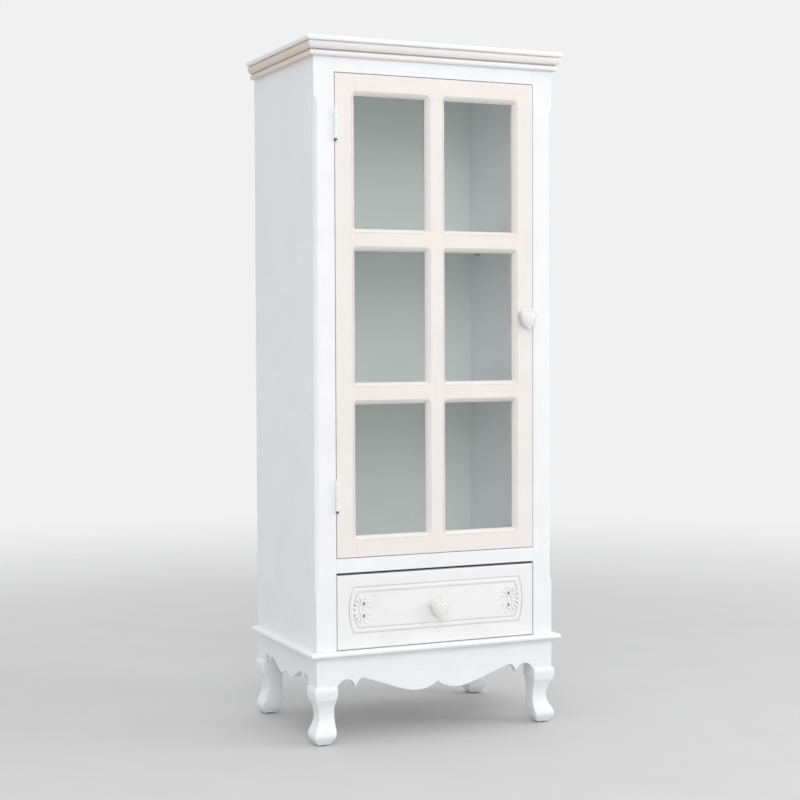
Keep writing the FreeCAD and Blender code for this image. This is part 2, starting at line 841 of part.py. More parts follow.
def knob_screw(x, z, board_back_y, gap=0):
    tip_y = face_y - knob_stem_length - knob_screw_bite - (hole_end_gap if gap else 0)
    shank = rod(knob_screw_radius + gap, point(x, board_back_y, z), point(x, tip_y, z))
    head_y = board_back_y + knob_screw_head_height
    head = rod(knob_screw_head_radius, point(x, board_back_y, z), point(x, head_y, z))
    return shank if gap else shank.fuse(head).removeSplitter()


def knob(x, z):
    rear_y = face_y - knob_stem_length
    wires = [heart_wire(x, z, size, rear_y - along * knob_thickness) for along, size in knob_section_shares]
    heart = Part.makeLoft(wires, True, True)
    stem = rod(knob_stem_radius, point(x, face_y, z), point(x, rear_y, z))
    return heart.fuse(stem).removeSplitter().cut(knob_screw(x, z, door_back_y, press_gap))


# Catch

def magnet_catch():
    """A magnet block behind the edge of the door, on a foot behind the stile."""
    low_z = catch_z - catch_height / 2
    high_z = low_z + catch_height
    rear_y = frame_back_y + catch_depth
    front_y = door_back_y + strike_thickness + catch_gap
    foot = block(opening_x, inner_x, frame_back_y, rear_y, low_z, high_z)
    nose = block(opening_x - catch_reach, opening_x, front_y, rear_y, low_z, high_z)
    return foot.fuse(nose).removeSplitter().cut(catch_screws(press_gap))


def catch_strike():
    x1 = door_right_x - press_gap
    low_z = catch_z - catch_height / 2
    return block(x1 - strike_width, x1, door_back_y, door_back_y + strike_thickness,
                 low_z, low_z + catch_height)


# Drawer

def panel_line(inset, y):
    """The outline of the sunk line on the drawer front, with bowed ends."""
    x = drawer_half - drawer_line_margin - inset
    low = drawer_low_z + drawer_line_bottom_margin + inset
    high = drawer_high_z - drawer_line_top_margin - inset
    middle = (low + high) / 2
    edges = run([point(-x, y, high), point(x, y, high)])
    edges += [arc(point(x, y, high), point(x + drawer_line_bow, y, middle), point(x, y, low))]
    edges += run([point(x, y, low), point(-x, y, low)])
    edges += [arc(point(-x, y, low), point(-x - drawer_line_bow, y, middle), point(-x, y, high))]
    return edges


def drawer_side(side, gap=0):
    outer = -box_half - gap
    inner = -box_inner + gap
    front = drawer_front_back_y - drawer_housing_depth - gap
    board = block(outer, inner, front, box_rear_y, box_low_z - gap, box_high_z + gap)
    if not gap:
        board = board.cut(bottom_space())
    return mirrored(board) if side > 0 else board


def bottom_space():
    """The bottom panel with its running room, as the grooves see it."""
    edge = box_inner + drawer_groove_depth + press_gap
    return block(-edge, edge, drawer_front_back_y - drawer_groove_depth - press_gap, box_rear_y + overrun,
                 bottom_low_z - press_gap, bottom_high_z + press_gap)


def drawer_front():
    board = block(-drawer_half, drawer_half, face_y, drawer_front_back_y, drawer_low_z, drawer_high_z)
    sunk = point(0, drawer_line_depth, 0)
    line = prism(panel_line(0, face_y), sunk).cut(prism(panel_line(drawer_line_width, face_y), sunk))
    cuts = [line, bottom_space(), drawer_side(-1, press_gap), drawer_side(1, press_gap)]
    return board.cut(cuts).cut(knob_screw(0, drawer_knob_z, drawer_front_back_y, press_gap))


def drawer_back():
    return block(-box_inner, box_inner, box_rear_y - drawer_board_thickness, box_rear_y,
                 bottom_high_z + press_gap, box_high_z - drawer_back_drop)


def drawer_bottom():
    edge = box_inner + drawer_groove_depth
    front = drawer_front_back_y - drawer_groove_depth
    return block(-edge, edge, front, box_rear_y, bottom_low_z, bottom_high_z)


def left_runner():
    """A strip under the drawer side, a guide beside it and a stop behind it, in one piece."""
    front = frame_back_y + runner_front_gap
    stop_y = box_rear_y + runner_slide_gap
    rear = stop_y + stop_length
    guide_high_z = runner_high_z + guide_height
    inside = -guide_x() + runner_width
    strip = block(-inner_x, inside, front, rear, base_top_z, runner_high_z)
    guide = block(-inner_x, -guide_x(), front, rear, runner_high_z, guide_high_z)
    stop = block(-guide_x(), inside, stop_y, rear, runner_high_z, guide_high_z)
    return strip.fuse([guide, stop]).removeSplitter().cut(runner_screws(-1, press_gap))


def build_case():
    save("left_side_panel", side_panel(-1))
    save("right_side_panel", side_panel(1))
    save("back_panel", back_panel())
    save("back_panel_nails", *[nail(x, z) for x, z in nail_places()])
    save("carcass_top", carcass_board(cap_under_z - carcass_board_thickness, cap_under_z))
    save("cabinet_floor", carcass_board(rail_high_z - carcass_board_thickness, rail_high_z))
    save("top_board", top_board())
    save("crown_front", crown_front())
    save("crown_left", crown_left())
    save("crown_right", mirrored(crown_left()))
    save("left_stile", stile(-1))
    save("right_stile", stile(1))
    save("top_rail", rail(top_rail_low_z, cap_under_z))
    save("middle_rail", rail(rail_low_z, rail_high_z))
    save("face_frame_dowels", *frame_dowels(-1), *frame_dowels(1))
    for name, low_z in zip(("lower_shelf", "upper_shelf"), shelf_lows()):
        save(name, shelf(low_z))
    save("shelf_pins", *shelf_pins(-1), *shelf_pins(1))


def build_base():
    save("base_board", base_board())
    save("base_screws", *base_screws(-1), *base_screws(1))
    save("front_apron", front_apron())
    save("left_apron", left_apron())
    save("right_apron", mirrored(left_apron()))
    save("back_rail", back_rail())
    ends = (("front", True), ("rear", False))
    for end, front in ends:
        leg = left_leg(front)
        save(end + "_left_leg", leg)
        save(end + "_right_leg", mirrored(leg))
    for name, piece in (("corner_braces", left_brace), ("leg_bolts", leg_bolt), ("foot_pads", left_pad)):
        pieces = [piece(front) for _, front in ends]
        save(name, *pieces, *[mirrored(p) for p in pieces])
    runner = left_runner()
    save("drawer_runners", runner, mirrored(runner))
    save("runner_screws", *runner_screws(-1), *runner_screws(1))


def build_door():
    for name, piece in door_pieces().items():
        save(name, piece)
    save("door_dowels", *door_dowels(-1), *door_dowels(1))
    save("door_glass", door_glass())
    save("glass_beads", *glass_beads())
    save("hinge_frame_leaves", *[hinge_leaf(-1, z) for z in hinge_zs])
    save("hinge_door_leaves", *[hinge_leaf(1, z) for z in hinge_zs])
    save("hinge_pins", *[hinge_pin(z) for z in hinge_zs])
    save("hinge_frame_screws", *hinge_screws(-1))
    save("hinge_door_screws", *hinge_screws(1))
    save("door_knob", knob(door_knob_x, door_knob_z))
    save("door_knob_screw", knob_screw(door_knob_x, door_knob_z, door_back_y))
    save("magnet_catch", magnet_catch())
    save("catch_screws", *catch_screws())
    save("catch_strike", catch_strike())


def build_drawer():
    save("drawer_front", drawer_front())
    save("drawer_left_side", drawer_side(-1))
    save("drawer_right_side", drawer_side(1))
    save("drawer_back", drawer_back())
    save("drawer_bottom", drawer_bottom())
    save("drawer_knob", knob(0, drawer_knob_z))
    save("drawer_knob_screw", knob_screw(0, drawer_knob_z, drawer_front_back_y))


os.makedirs("parts", exist_ok=True)
build_case()
build_base()
build_door()
build_drawer()
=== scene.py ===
# %% [markdown]
# # A white painted display cabinet
# The cabinet is about 1.19 m tall: a case with one glazed door over one drawer, on short cabriole
# legs. Its boards are already drawn to size as solids. This lesson loads them as a fixed frame and
# dresses them: arrises are eased, mouldings and carving get their full sections, and every surface
# gets its paint, wood, glass or steel.

# %% Load the frame
import json
from cmath import phase, rect
from math import cos, pi, radians, sin

import bmesh
import bpy
import numpy as np
from mathutils import Matrix, Vector


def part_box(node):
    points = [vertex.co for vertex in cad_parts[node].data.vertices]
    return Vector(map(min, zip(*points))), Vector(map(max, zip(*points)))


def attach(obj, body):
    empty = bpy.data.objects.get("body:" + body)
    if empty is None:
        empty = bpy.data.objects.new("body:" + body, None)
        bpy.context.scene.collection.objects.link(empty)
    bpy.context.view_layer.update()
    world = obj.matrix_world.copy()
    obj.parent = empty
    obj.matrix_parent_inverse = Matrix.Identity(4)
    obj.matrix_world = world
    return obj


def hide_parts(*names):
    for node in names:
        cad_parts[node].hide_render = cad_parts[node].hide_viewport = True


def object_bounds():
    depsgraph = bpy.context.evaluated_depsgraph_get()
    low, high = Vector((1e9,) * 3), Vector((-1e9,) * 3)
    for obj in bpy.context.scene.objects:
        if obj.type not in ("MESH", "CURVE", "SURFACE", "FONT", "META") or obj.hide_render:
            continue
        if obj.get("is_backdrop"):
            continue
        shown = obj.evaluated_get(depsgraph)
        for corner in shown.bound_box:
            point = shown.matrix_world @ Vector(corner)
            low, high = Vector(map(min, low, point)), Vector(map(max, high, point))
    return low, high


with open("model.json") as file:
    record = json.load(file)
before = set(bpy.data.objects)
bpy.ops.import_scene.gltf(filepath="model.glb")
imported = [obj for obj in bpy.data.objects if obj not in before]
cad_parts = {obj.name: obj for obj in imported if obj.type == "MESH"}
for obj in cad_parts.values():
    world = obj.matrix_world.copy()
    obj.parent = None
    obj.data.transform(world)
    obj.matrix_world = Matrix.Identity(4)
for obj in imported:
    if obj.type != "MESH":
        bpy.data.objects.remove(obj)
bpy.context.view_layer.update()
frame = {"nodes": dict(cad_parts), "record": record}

mm = 0.001
scene = bpy.context.scene
body_of = {node: body for body, nodes in frame["record"]["behaviour"]["bodies"].items() for node in nodes}

# %% [markdown]
# ## Camera
# The photograph was taken from the left of the cabinet, at a little over half its height, with a
# long lens. A camera can be placed by eye, but the straight edges of the case fix it: its place,
# lens and three turns were solved from them, so they stand here as plain values.

# %% Camera
camera_place = Vector((-1227.7, -2747.4, 689.6)) * mm
camera_lens = 75.23
yaw = radians(23.945)
pitch = radians(-2.1514)
roll = radians(-0.2157)


def link(name, data):
    """Puts a mesh, lamp or camera in the scene."""
    holder = bpy.data.objects.new(name, data)
    scene.collection.objects.link(holder)
    return holder


ahead = Vector((sin(yaw) * cos(pitch), cos(yaw) * cos(pitch), sin(pitch)))
level = Vector((cos(yaw), -sin(yaw), 0))
above = level.cross(ahead)
right = level * cos(roll) + above * sin(roll)
top = above * cos(roll) - level * sin(roll)
camera_data = bpy.data.cameras.new("photo_camera")
camera_data.lens = camera_lens
camera = link("photo_camera", camera_data)
camera.matrix_world = Matrix.Translation(camera_place) @ Matrix((right, top, -ahead)).transposed().to_4x4()
scene.camera = camera
print("camera", [round(value, 2) for value in camera.location])

# %% [markdown]
# ## One function for nodes, one for colours
# Shaders and Geometry Nodes are both trees of nodes. One small function adds a node, sets its
# properties and fills its inputs with values or links, so that a tree reads from top to bottom. The
# filling has a name of its own, because the shader that comes with each material is filled too.
# Colours are written as they look on a screen, in sRGB hex, and turned into the linear values that
# a shader works with.

# %% Node and colour helpers
def fill(node, inputs):
    """Fills a node's inputs, each with a value or with a socket that is linked to it."""
    for name, value in inputs.items():
        if isinstance(value, bpy.types.NodeSocket):
            node.id_data.links.new(value, node.inputs[name])
        else:
            node.inputs[name].default_value = value


def add(tree, kind, inputs=None, **settings):
    """Adds a node, sets its properties, fills its inputs and gives its outputs."""
    node = tree.nodes.new(kind)
    for name, value in settings.items():
        setattr(node, name, value)
    fill(node, inputs or {})
    return node.outputs


def linear(code):
    """An sRGB hex colour as linear red, green, blue and alpha."""
    parts = [int(code[place:place + 2], 16) / 255 for place in (0, 2, 4)]
    return [part / 12.92 if part <= 0.04045 else ((part + 0.055) / 1.055) ** 2.4 for part in parts] + [1.0]


def new_material(name):
    """A material with its tree, its shader and its Object coordinates."""
    finish = bpy.data.materials.new(name)
    finish.use_nodes = True
    tree = finish.node_tree
    place = add(tree, "ShaderNodeTexCoord")["Object"]
    return finish, tree, tree.nodes["Principled BSDF"], place


print("white", [round(part, 3) for part in linear("F5F6F8")])

# %% [markdown]
# ## Room and light
# A plain pale floor and soft light let the paint show its own tones. The key lamp is a large soft
# square in front and above, because the front is the brightest side and the left side lies in half
# shade. A weaker lamp far to the right catches the mouldings without being mirrored in the glass. The
# world fills in from all round, most from the ceiling, so that soft shade lies under the crown and
# the nose of the base board. The background that the camera sees is set apart from that light, and
# the floor fades out with distance, so that no horizon crosses the picture.

# %% Floor, lamps and world
floor_size = 9.0
floor_full = 0.9
floor_gone = 3.6
wall_light = 0.53
ceiling_light = 1.0


def lamp(name, place, aim, size, power):
    data = bpy.data.lights.new(name, "AREA")
    data.size = size
    data.energy = power
    holder = link(name, data)
    holder.location = place
    holder.rotation_euler = (Vector(aim) - Vector(place)).to_track_quat("-Z", "Y").to_euler()


lamp("key", (-1.0, -3.0, 2.0), (0, 0, 0.6), 2.0, 30)
lamp("right", (2.7, -1.6, 1.5), (0, 0, 0.7), 1.0, 23)
lamp("top", (-0.2, -0.7, 3.2), (0, 0, 0.6), 2.0, 9)

finish, tree, shader, place = new_material("pale_floor_paint")
mottle = add(tree, "ShaderNodeTexNoise", {"Vector": place, "Scale": 6.0, "Detail": 3.0})["Fac"]
tone = add(tree, "ShaderNodeMix", {0: mottle, 6: linear("C8C8C8"), 7: linear("CFCFCF")}, data_type="RGBA")[2]
fill(shader, {"Base Color": tone, "Roughness": 0.7})
distance = add(tree, "ShaderNodeVectorMath", {0: place}, operation="LENGTH")["Value"]
fade = add(tree, "ShaderNodeMapRange", {"Value": distance, "From Min": floor_full, "From Max": floor_gone},
           interpolation_type="SMOOTHSTEP")[0]
clear = add(tree, "ShaderNodeBsdfTransparent")[0]
faded = add(tree, "ShaderNodeMixShader", {0: fade, 1: shader.outputs[0], 2: clear})[0]
fill(tree.nodes["Material Output"], {"Surface": faded})


def form_mesh(form):
    """The mesh of a form, which then goes."""
    mesh = bpy.data.meshes.new("form")
    form.to_mesh(mesh)
    form.free()
    return mesh


form = bmesh.new()
bmesh.ops.create_grid(form, x_segments=1, y_segments=1, size=floor_size / 2)
floor = link("floor", form_mesh(form))
floor.data.materials.append(finish)
floor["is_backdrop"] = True

world = bpy.data.worlds.new("soft_room")
scene.world = world
world.use_nodes = True
tree = world.node_tree
tree.nodes.clear()
rays = add(tree, "ShaderNodeLightPath")
mirrored = add(tree, "ShaderNodeMath", {0: rays["Is Glossy Ray"], 1: rays["Is Transmission Ray"]},
               operation="MAXIMUM")[0]
seen = add(tree, "ShaderNodeMath", {0: rays["Is Camera Ray"], 1: mirrored}, operation="MAXIMUM")[0]
way = add(tree, "ShaderNodeTexCoord")["Generated"]
height = add(tree, "ShaderNodeSeparateXYZ", {0: way})["Z"]
glow = add(tree, "ShaderNodeMapRange", {"Value": height, "To Min": wall_light, "To Max": ceiling_light})[0]
light = add(tree, "ShaderNodeBackground", {"Color": linear("FFFFFF"), "Strength": glow})[0]
wall = add(tree, "ShaderNodeBackground", {"Color": linear("F1F1F2")})[0]
mixed = add(tree, "ShaderNodeMixShader", {0: seen, 1: light, 2: wall})[0]
add(tree, "ShaderNodeOutputWorld", {"Surface": mixed})
scene.view_settings.view_transform = "Standard"

# %% [markdown]
# ## Satin paint, brushed on pine
# The whole outside is pine under satin paint. From a step away it is a flat white. Closer, the brush
# has left fine streaks along each board and the coat is a little thicker in places, and a warm grey
# painted shade lies in the quirks of the mouldings. The streaks are noise stretched along the board,
# so each colour is made once for every direction that its boards run in. The painted shade comes
# from an ambient occlusion node that looks only a few millimetres round each point.

# %% Paint
streak_width = 1.4 * mm
streak_length = 90 * mm
coat_patch = 70 * mm
# Reach, range and colour of the painted shade that darkens the hollows of each paint
shade_reach = 4 * mm
brush_depth = 0.06 * mm
thin_from, thin_to = 0.8, 1.35
shade_from, shade_to = 0.25, 0.75


def paint(name, colour, thin, shade_colour, along, rough=0.42, alone=True):
    """Satin paint brushed along one axis, with painted shade in its hollows, sought in the piece alone or
    round it too.
    """
    finish, tree, shader, place = new_material(name)
    stretch = [1 / (streak_length if axis == along else streak_width) for axis in "xyz"]
    laid = add(tree, "ShaderNodeMapping", {"Vector": place, "Scale": stretch})["Vector"]
    streaks = add(tree, "ShaderNodeTexNoise", {"Vector": laid, "Scale": 1.0, "Detail": 3.0})["Fac"]
    broad = add(tree, "ShaderNodeTexNoise", {"Vector": place, "Scale": 1 / coat_patch, "Detail": 2.0})["Fac"]
    both = add(tree, "ShaderNodeMath", {0: streaks, 1: broad}, operation="ADD")[0]
    thinness = add(tree, "ShaderNodeMapRange", {"Value": both, "From Min": thin_from, "From Max": thin_to})[0]
    coat = add(tree, "ShaderNodeMix", {0: thinness, 6: linear(colour), 7: linear(thin)}, data_type="RGBA")[2]
    # Painted shade: the coat darkens towards its shade colour where ambient occlusion finds a hollow
    hollow = add(tree, "ShaderNodeAmbientOcclusion", {"Distance": shade_reach}, samples=8, only_local=alone)
    painted_shade = add(tree, "ShaderNodeMapRange",
               {"Value": hollow["AO"], "From Min": shade_from, "From Max": shade_to,
                "To Min": 1.0, "To Max": 0.0})[0]
    shaded_coat = add(tree, "ShaderNodeMix", {0: painted_shade, 6: coat, 7: linear(shade_colour)}, data_type="RGBA")[2]
    gloss = add(tree, "ShaderNodeMapRange",
                {"Value": streaks, "To Min": rough - 0.08, "To Max": rough + 0.1})[0]
    relief = add(tree, "ShaderNodeBump", {"Height": streaks, "Strength": 0.5, "Distance": brush_depth})[0]
    fill(shader, {"Base Color": shaded_coat, "Roughness": gloss, "Normal": relief})
    return finish


# The third colour of each paint is the painted shade in its hollows
white = {axis: paint("white_satin_paint_along_" + axis, "F5F6F8", "EFF0F2", "CFCBC6", axis) for axis in "xyz"}
ivory = {axis: paint("ivory_satin_paint_along_" + axis, "F1ECE9", "EBE6E1", "B7A595", axis) for axis in "xz"}
# The side runs of the crown get a darker, warmer copy of its front paint: painted shade with a warm painted
# reflection
crown_coat = {"x": paint("crown_satin_paint_along_x", "F3F1F0", "ECEAE8", "A8A19B", "x"),
              "y": paint("crown_side_paint_painted_shade", "EBE1D7", "E3D8CC", "CFC1B1", "y")}
# The drawer and carving coats seek hollows round their neighbours too, so painted shade also lies on the
# field beside the bead, the carving and the knob, and the carving's dark shade colour paints its gaps and
# eyes
drawer_coat = paint("drawer_satin_paint_along_x", "F4F4F4", "EDEDED", "A6A3A0", "x", alone=False)
carving_coat = paint("carving_satin_paint_along_x", "F6F6F6", "EFEFEF", "85827F", "x", alone=False)
# The knob's shade colour paints shade into the crease round its inner heart
enamel = paint("knob_enamel", "EEEEED", "E8E8E7", "A5A29E", "z", rough=0.34)
print("paints", len(white) + len(ivory) + len(crown_coat) + 3)

# %% [markdown]
# ## Rolled paint inside, bare wood, steel, glass and felt
# The inside of the case has a thin rolled coat with a fine stipple. The drawer box, runners and
# braces are bare pine, whose rings show as long bands of pale and darker wood. The pane is plain
# float glass with its slight green. Screws are bright zinc, the hinges are painted over with the
# case, and a felt pad keeps each foot off the floor.

# %% Inside paint and bare wood
stipple = 1.6 * mm
ring_width = 9 * mm
ring_length = 320 * mm
ring_drift = 0.75
pore_share = 0.3
grain_from, grain_to = 0.7, 1.3
ring_from, ring_to = 0.45, 0.85


def stippled(name, colour, thin, grit, rough, depth):
    """A surface with a fine even grain: rolled paint, moulded plastic or felt."""
    finish, tree, shader, place = new_material(name)
    grain = add(tree, "ShaderNodeTexNoise", {"Vector": place, "Scale": 1 / grit, "Detail": 2.0})["Fac"]
    broad = add(tree, "ShaderNodeTexNoise", {"Vector": place, "Scale": 1 / coat_patch, "Detail": 2.0})["Fac"]
    both = add(tree, "ShaderNodeMath", {0: grain, 1: broad}, operation="ADD")[0]
    share = add(tree, "ShaderNodeMapRange", {"Value": both, "From Min": grain_from, "From Max": grain_to})[0]
    coat = add(tree, "ShaderNodeMix", {0: share, 6: linear(colour), 7: linear(thin)}, data_type="RGBA")[2]
    gloss = add(tree, "ShaderNodeMapRange",
                {"Value": grain, "To Min": rough - 0.06, "To Max": rough + 0.06})[0]
    relief = add(tree, "ShaderNodeBump", {"Height": grain, "Strength": 0.5, "Distance": depth})[0]
    fill(shader, {"Base Color": coat, "Roughness": gloss, "Normal": relief})
    return finish


def bare_wood(name, pale, dark, along, ring):
    """Planed wood: rings in long bands, with fine pores along them."""
    finish, tree, shader, place = new_material(name)
    stretch = [1 / (ring_length if axis == along else ring) for axis in "xyz"]
    sawn = add(tree, "ShaderNodeMapping", {"Vector": place, "Scale": stretch})["Vector"]
    drift = add(tree, "ShaderNodeTexNoise", {"Vector": sawn, "Scale": 0.4, "Detail": 2.0})["Color"]
    bent = add(tree, "ShaderNodeMix", {0: ring_drift, 4: sawn, 5: drift}, data_type="VECTOR")[1]
    rings = add(tree, "ShaderNodeTexNoise", {"Vector": bent, "Scale": 2.2, "Detail": 4.0})["Fac"]
    pores = add(tree, "ShaderNodeTexNoise", {"Vector": sawn, "Scale": 9.0, "Detail": 2.0})["Fac"]
    both = add(tree, "ShaderNodeMath", {0: pores, 1: pore_share, 2: rings}, operation="MULTIPLY_ADD")[0]
    share = add(tree, "ShaderNodeMapRange", {"Value": both, "From Min": ring_from, "From Max": ring_to})[0]
    wood = add(tree, "ShaderNodeMix", {0: share, 6: linear(pale), 7: linear(dark)}, data_type="RGBA")[2]
    gloss = add(tree, "ShaderNodeMapRange", {"Value": rings, "To Min": 0.55, "To Max": 0.72})[0]
    relief = add(tree, "ShaderNodeBump", {"Height": pores, "Strength": 0.4, "Distance": brush_depth})[0]
    fill(shader, {"Base Color": wood, "Roughness": gloss, "Normal": relief})
    return finish


inside_coat = stippled("rolled_matt_paint", "F3F7F6", "EDF2F1", stipple, 0.6, 0.05 * mm)
catch_resin = stippled("moulded_abs", "E2DFD6", "DCD9D0", 0.7 * mm, 0.45, 0.02 * mm)
foot_felt = stippled("pressed_felt", "3A3633", "24211F", 0.9 * mm, 0.9, 0.3 * mm)
pine = {axis: bare_wood("bare_pine_along_" + axis, "E2C79C", "C79C66", axis, ring_width) for axis in "xyz"}
plywood = bare_wood("birch_plywood_along_x", "E3CDA6", "D0B183", "x", 4 * ring_width)
print("woods", len(pine) + 1)

# %% Steel and glass
brush_line = 0.5 * mm
dull_from, dull_to = 0.35, 0.75
ripple_depth = 0.2 * mm


def metal(name, colour, dull, rough):
    """Plated steel: a cool mirror, blurred by fine marks and dulled in patches."""
    finish, tree, shader, place = new_material(name)
    marks = add(tree, "ShaderNodeTexNoise", {"Vector": place, "Scale": 1 / brush_line, "Detail": 3.0})["Fac"]
    share = add(tree, "ShaderNodeMapRange", {"Value": marks, "From Min": dull_from, "From Max": dull_to})[0]
    tint = add(tree, "ShaderNodeMix", {0: share, 6: linear(colour), 7: linear(dull)}, data_type="RGBA")[2]
    gloss = add(tree, "ShaderNodeMapRange",
                {"Value": marks, "To Min": rough - 0.08, "To Max": rough + 0.12})[0]
    fill(shader, {"Base Color": tint, "Metallic": 1.0, "Roughness": gloss})
    return finish


zinc = metal("zinc_plated_steel", "C9CACB", "A9AAA9", 0.34)
# Dark steel for the lower pin ends, as painted shade beneath the hinges
shaded_steel = metal("pin_steel_painted_shade", "77716A", "4E4943", 0.45)

glass, tree, shader, place = new_material("clear_float_glass")
wave = add(tree, "ShaderNodeTexNoise", {"Vector": place, "Scale": 5.0, "Detail": 1.0})["Fac"]
ripple = add(tree, "ShaderNodeBump", {"Height": wave, "Strength": 0.2, "Distance": ripple_depth})[0]
clarity = {"Roughness": 0.0, "IOR": 1.5, "Transmission Weight": 1.0}
fill(shader, {"Base Color": linear("FAFDFB"), "Normal": ripple, **clarity})
print("metals and glass", zinc.name, shaded_steel.name, glass.name)

# %% [markdown]
# ## Boards with eased arrises
# A solid from CAD has perfectly sharp edges, which no painted board has: sandpaper and paint leave a
# small round that catches the light. Each board is therefore copied, its triangles are merged back
# into whole faces, and a Bevel modifier rounds its arrises before the result is kept as a plain
# mesh. The rounds are shaded smooth and the flat faces flat, so that no false shade runs across them.
# The scalloped aprons, the braces behind them and the felt pads are dressed in the same way.

# %% Board helpers
sharp_angle = radians(24)
flat_angle = radians(0.6)
along_axis = 0.99999
same_point = 0.01 * mm
slot_of = {name: node.data.materials[0].name for name, node in frame["nodes"].items()}


def merged(mesh):
    """A form of a mesh, with doubled points made one and flat faces made whole."""
    form = bmesh.new()
    form.from_mesh(mesh)
    bmesh.ops.remove_doubles(form, verts=form.verts, dist=same_point)
    bmesh.ops.dissolve_limit(form, angle_limit=flat_angle, verts=form.verts, edges=form.edges)
    return form


def plain_mesh(holder):
    """An object's mesh with its modifiers applied; the object then goes."""
    graph = bpy.context.evaluated_depsgraph_get()
    mesh = bpy.data.meshes.new_from_object(holder.evaluated_get(graph), depsgraph=graph)
    bpy.data.objects.remove(holder)
    return mesh


def flat_shaded(mesh):
    """Flat shading for the faces that look along an axis, smooth shading for the rest."""
    normals = np.empty(len(mesh.polygons) * 3, np.float32)
    mesh.polygons.foreach_get("normal", normals)
    mesh.polygons.foreach_set("use_smooth", np.abs(normals.reshape(-1, 3)).max(axis=1) < along_axis)
    return mesh


def eased(form, arris, segments=3):
    """Rounds a form's arrises and returns its mesh; arris is a radius, or gives one for a point."""
    weights = form.edges.layers.float.new("bevel_weight_edge")
    radii = {}
    for edge in form.edges:
        if edge.is_manifold and edge.calc_face_angle() > sharp_angle:
            middle = (edge.verts[0].co + edge.verts[1].co) / 2
            radii[edge] = arris(middle) if callable(arris) else arris
    largest = max(radii.values())
    for edge, radius in radii.items():
        edge[weights] = radius / largest
    holder = link("eased", form_mesh(form))
    bevel = holder.modifiers.new("arris", "BEVEL")
    bevel.width = largest
    bevel.segments = segments
    bevel.limit_method = "WEIGHT"
    bevel.use_clamp_overlap = False
    return flat_shaded(plain_mesh(holder))


def box_of(points):
    """Lowest and highest corner of some points."""
    return [Vector([pick(point[axis] for point in points) for axis in range(3)]) for pick in (min, max)]


def piece(name, mesh, finish, *nodes):
    """Shows a mesh as a piece that stands for CAD nodes and moves with their body."""
    mesh.name = name
    mesh.materials.clear()
    mesh.materials.append(finish)
    shown = link(name, mesh)
    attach(shown, body_of[nodes[0]])
    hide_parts(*nodes)


def dress(finish, arris, *nodes):
    """Boards with eased arrises in place of their CAD solids, and never past their boxes."""
    for node in nodes:
        mesh = eased(merged(frame["nodes"][node].data), arris)
        places = np.empty(len(mesh.vertices) * 3, np.float32)
        mesh.vertices.foreach_get("co", places)
        kept = np.clip(places.reshape(-1, 3), *[np.array(corner, np.float32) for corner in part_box(node)])
        mesh.vertices.foreach_set("co", kept.ravel())
        piece(node + "_eased", mesh, finish, node)


# %% Case and base boards
board_arris = 0.8 * mm
thin_arris = 0.5 * mm
dress(white["z"], board_arris, "left_side_panel", "right_side_panel", "left_stile", "right_stile")
dress(white["x"], thin_arris, "top_rail", "middle_rail", "back_rail", "top_board", "base_board")
dress(inside_coat, thin_arris, "carcass_top", "cabinet_floor", "lower_shelf", "upper_shelf", "back_panel")
dress(white["x"], board_arris, "front_apron")
dress(white["y"], board_arris, "left_apron", "right_apron")
dress(pine["x"], thin_arris, "corner_braces")
dress(foot_felt, thin_arris, "foot_pads")

# %% [markdown]
# ## Legs
# Each leg is bandsawn from one block to a cabriole outline on two faces and then filed round at its
# corners. A Bevel has trouble with such long curved arrises, so a leg is built here slice by slice:
# every slice is a square with rounded corners, as wide as the solid is at that height, and a skin
# joins the slices.

# %% Legs
slice_step = 1.5 * mm
slice_inset = 0.02
corner_round = 2.2 * mm
corner_steps = 5
shoulder_rise = 4.06 * mm
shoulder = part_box("left_apron")[0].z + shoulder_rise


def slice_ranges(edges, z):
    """Ranges of x and y where mesh edges cross a height."""
    low, high = edges[:, 0], edges[:, 1]
    crossing = (low[:, 2] - z) * (high[:, 2] - z) < 0
    low, high = low[crossing], high[crossing]
    share = (z - low[:, 2:]) / (high[:, 2:] - low[:, 2:])
    points = low + (high - low) * share
    return [(points[:, axis].min(), points[:, axis].max()) for axis in (0, 1)]


def rounded_outline(x_range, y_range, grow, radius, steps):
    """A rectangle with rounded corners, grown outwards, as pairs of coordinates."""
    points = []
    for quarter, (x, y) in enumerate(((1, 1), (0, 1), (0, 0), (1, 0))):
        corner_x = x_range[x] + (grow - radius) * (1 if x else -1)
        corner_y = y_range[y] + (grow - radius) * (1 if y else -1)
        for step in range(steps + 1):
            angle = (quarter + step / steps) * pi / 2
            points.append((corner_x + radius * cos(angle), corner_y + radius * sin(angle)))
    return points


def stitch(form, rings):
    """Joins each ring of vertices to the next by faces."""
    for near, far in zip(rings, rings[1:]):
        for place in range(len(near)):
            after = (place + 1) % len(near)
            form.faces.new((near[place], near[after], far[after], far[place]))


def skin(sections):
    """A closed form through like sections, with a face at each end."""
    form = bmesh.new()
    rings = [[form.verts.new(point) for point in section] for section in sections]
    stitch(form, rings)
    form.faces.new(rings[0])
    form.faces.new(rings[-1])
    bmesh.ops.recalc_face_normals(form, faces=form.faces)
    return form


def smoothed(mesh, angle):
    """Smooth shading, but for edges sharper than an angle in degrees."""
    mesh.shade_smooth()
    mesh.set_sharp_from_angle(angle=radians(angle))
    return mesh


